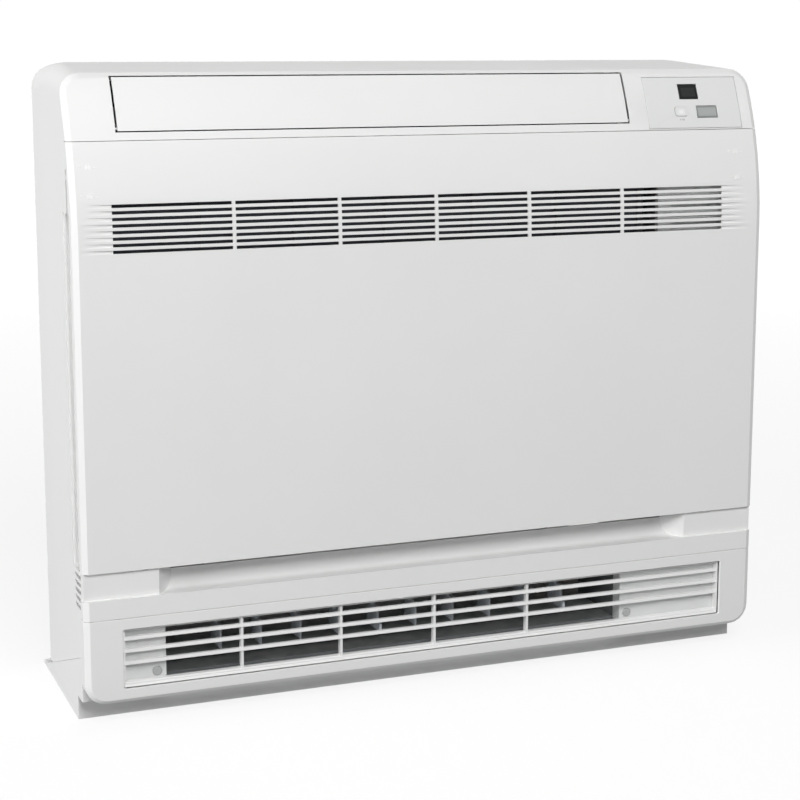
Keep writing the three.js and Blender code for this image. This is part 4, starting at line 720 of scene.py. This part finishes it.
def addFins():
    # fine fins between the coarse ones of the frame's coil
    (x0, x1), (y0, y1), (z0, z1) = boxOf("coil_fins")
    step, thick, inset = (fins[label] * mm for label in ("pitch", "thick", "inset"))
    settings = {
        "Count": int((x1 - x0 - 2 * step) / step), "First": (x0 + step, (y0 + y1) / 2, (z0 + z1) / 2),
        "Step": (step, 0, 0), "Bar": (thick, y1 - y0 - 2 * inset, z1 - z0 - 2 * inset),
        "Finish": finishes["finAluminium"],
    }
    grow(trees["row"], "finPack", settings, bodyOf["coil_fins"])


addScrews()
addNet()
addFins()

# marks and small fittings on the face

def placeOnFace(shape, node, x, z):
    # shape is drawn flat: x to the right, z up, front at negative y
    point, normal = surfaceAt(node, x, z)
    right = Vector((1, 0, 0))
    up = right.cross(-normal).normalized()
    turn = Matrix((right, -normal, up)).transposed().to_4x4()
    shape.transform(Matrix.Translation(point) @ turn)


def addPlate(shape, outline, front, back, hole=None):
    # plate of the given outline in mm, with an optional hole of as many corners
    near = [shape.verts.new((x * mm, -front * mm, z * mm)) for x, z in outline]
    far = [shape.verts.new((x * mm, back * mm, z * mm)) for x, z in outline]
    count = len(outline)
    rings = [(near, far, 1)]
    if hole:
        nearHole = [shape.verts.new((x * mm, -front * mm, z * mm)) for x, z in hole]
        farHole = [shape.verts.new((x * mm, back * mm, z * mm)) for x, z in hole]
        rings.append((nearHole, farHole, -1))
        for i in range(count):
            j = (i + 1) % count
            shape.faces.new((near[i], near[j], nearHole[j], nearHole[i]))
            shape.faces.new((far[j], far[i], farHole[i], farHole[j]))
    else:
        shape.faces.new(near)
        shape.faces.new(far[::-1])
    for first, second, side in rings:
        for i in range(count):
            j = (i + 1) % count
            quad = (first[i], second[i], second[j], first[j])
            shape.faces.new(quad if side > 0 else quad[::-1])


def rounded(width, height, radius, x=0.0, z=0.0, steps=4):
    corners = []
    for sideX, sideZ, begin in ((1, 1, 0), (-1, 1, 90), (-1, -1, 180), (1, -1, 270)):
        for i in range(steps + 1):
            angle = math.radians(begin + 90 * i / steps)
            corners.append((
                x + sideX * (width / 2 - radius) + radius * math.cos(angle),
                z + sideZ * (height / 2 - radius) + radius * math.sin(angle),
            ))
    return corners


def arc(radius, begin, finish, steps, x=0.0, z=0.0):
    angles = [math.radians(begin + (finish - begin) * i / steps) for i in range(steps + 1)]
    return [(x + radius * math.cos(angle), z + radius * math.sin(angle)) for angle in angles]


def finishShape(name, shape, node, finish):
    bmesh.ops.recalc_face_normals(shape, faces=shape.faces)
    mesh = bpy.data.meshes.new(name)
    shape.to_mesh(mesh)
    shape.free()
    piece = addPiece(name, mesh)
    return finishPiece(piece, finish, bodyOf[node])


padlock = {
    # mm, measured from the place of the sign
    "relief": 0.4, "root": 0.2,
    "arrowX": -7.2, "arrowHalf": 1.4, "arrowHeight": 3.2,
    "bodyX": 0.6, "bodyZ": -1.2, "bodyWidth": 4.6, "bodyHeight": 3.4, "bodyRadius": 0.5,
    "shackleZ": 0.4, "shackleOuter": 1.9, "shackleInner": 1.2, "openShift": 1.7,
    "dashX": 6.6, "dashWidth": 3.4, "dashHeight": 0.8, "dashRadius": 0.2,
}
padlocks = {
    # piece: x, z, whether its padlock is open
    "markLeftShut": (-333, 512, False), "markLeftOpen": (-333, 487, True),
    "markRightShut": (322, 512, False), "markRightOpen": (322, 487, True),
}


def addPadlock(name, node, x, z, opened):
    # raised generic sign beside each latch: arrow and padlock, shut or open
    shape = bmesh.new()
    sign = padlock
    relief = (sign["relief"], sign["root"])
    tip = sign["arrowHeight"] if opened else -sign["arrowHeight"]
    arrowX = sign["arrowX"]
    foot = -tip / 4
    arrow = [
        (arrowX, foot + tip / 2), (arrowX - sign["arrowHalf"], foot), (arrowX + sign["arrowHalf"], foot),
    ]
    addPlate(shape, arrow, *relief)
    body = rounded(
        sign["bodyWidth"], sign["bodyHeight"], sign["bodyRadius"], sign["bodyX"], sign["bodyZ"],
    )
    addPlate(shape, body, *relief)
    middle = sign["bodyX"] + (sign["openShift"] if opened else 0)
    outer = arc(sign["shackleOuter"], 0, 180, 8, middle, sign["shackleZ"])
    inner = arc(sign["shackleInner"], 180, 0, 8, middle, sign["shackleZ"])
    addPlate(shape, outer + inner, *relief)
    dash = rounded(
        sign["dashWidth"], sign["dashHeight"], sign["dashRadius"], sign["dashX"], sign["bodyZ"],
    )
    addPlate(shape, dash, *relief)
    placeOnFace(shape, node, x, z)
    finishShape(name, shape, node, "markWhite")


key = {
    # mm: outlines are width, height and corner radius
    "x": 266.05, "z": 550.6, "ring": (6.4, 4.6, 0.8), "ringHole": (5.4, 3.6, 0.5), "square": (4.6, 2.8, 0.4),
    "ringRelief": 0.22, "squareRelief": 0.16, "root": 0.3,
}
keySign = {
    # mm, from the middle of the sign
    "below": 7.4, "relief": 0.06, "root": 0.2,
    "bar": (0.45, 1.7, 0.1), "barX": -1.9,
    "slash": [(-0.9, -0.85), (-0.55, -0.85), (0.35, 0.85), (0.0, 0.85)],
    "ringX": 1.6, "ringOuter": 0.85, "ringInner": 0.5,
}


def addKeyDetails():
    shape = bmesh.new()
    addPlate(shape, rounded(*key["ring"]), key["ringRelief"], key["root"], rounded(*key["ringHole"]))
    addPlate(shape, rounded(*key["square"]), key["squareRelief"], key["root"])
    placeOnFace(shape, "power_key", key["x"], key["z"])
    finishShape("keySquare", shape, "power_key", "markWhite")
    # generic sign under the key: a bar, a slash and a ring
    sign = bmesh.new()
    relief = (keySign["relief"], keySign["root"])
    addPlate(sign, rounded(*keySign["bar"], keySign["barX"]), *relief)
    addPlate(sign, keySign["slash"], *relief)
    ring = arc(keySign["ringOuter"], 0, 337.5, 15, keySign["ringX"])
    addPlate(sign, ring, *relief, arc(keySign["ringInner"], 0, 337.5, 15, keySign["ringX"]))
    placeOnFace(sign, "control_panel", key["x"], key["z"] - keySign["below"])
    finishShape("keySign", sign, "control_panel", "printGrey")


windows = {
    # mm: outlines are width, height and corner radius
    "root": 0.3,
    "display": (277.7, 569.6), "field": (15.6, 9.4, 0.6), "fieldRelief": 0.05,
    "receiver": (295.5, 550.5), "rim": (22.8, 10.8, 0.5), "rimHole": (20.6, 8.6, 0.4), "rimRelief": 0.12,
}


def addWindowDetails():
    field = bmesh.new()
    addPlate(field, rounded(*windows["field"]), windows["fieldRelief"], windows["root"])
    placeOnFace(field, "display_window", *windows["display"])
    finishShape("displayInner", field, "display_window", "displayField")
    rim = bmesh.new()
    hole = rounded(*windows["rimHole"])
    addPlate(rim, rounded(*windows["rim"]), windows["rimRelief"], windows["root"], hole)
    placeOnFace(rim, "receiver_window", *windows["receiver"])
    finishShape("receiverFrame", rim, "receiver_window", "receiverRim")


def addMarks():
    for name, (x, z, opened) in padlocks.items():
        addPadlock(name, "front_panel", x, z, opened)
    addKeyDetails()
    addWindowDetails()


addMarks()
print("marks and fittings added")
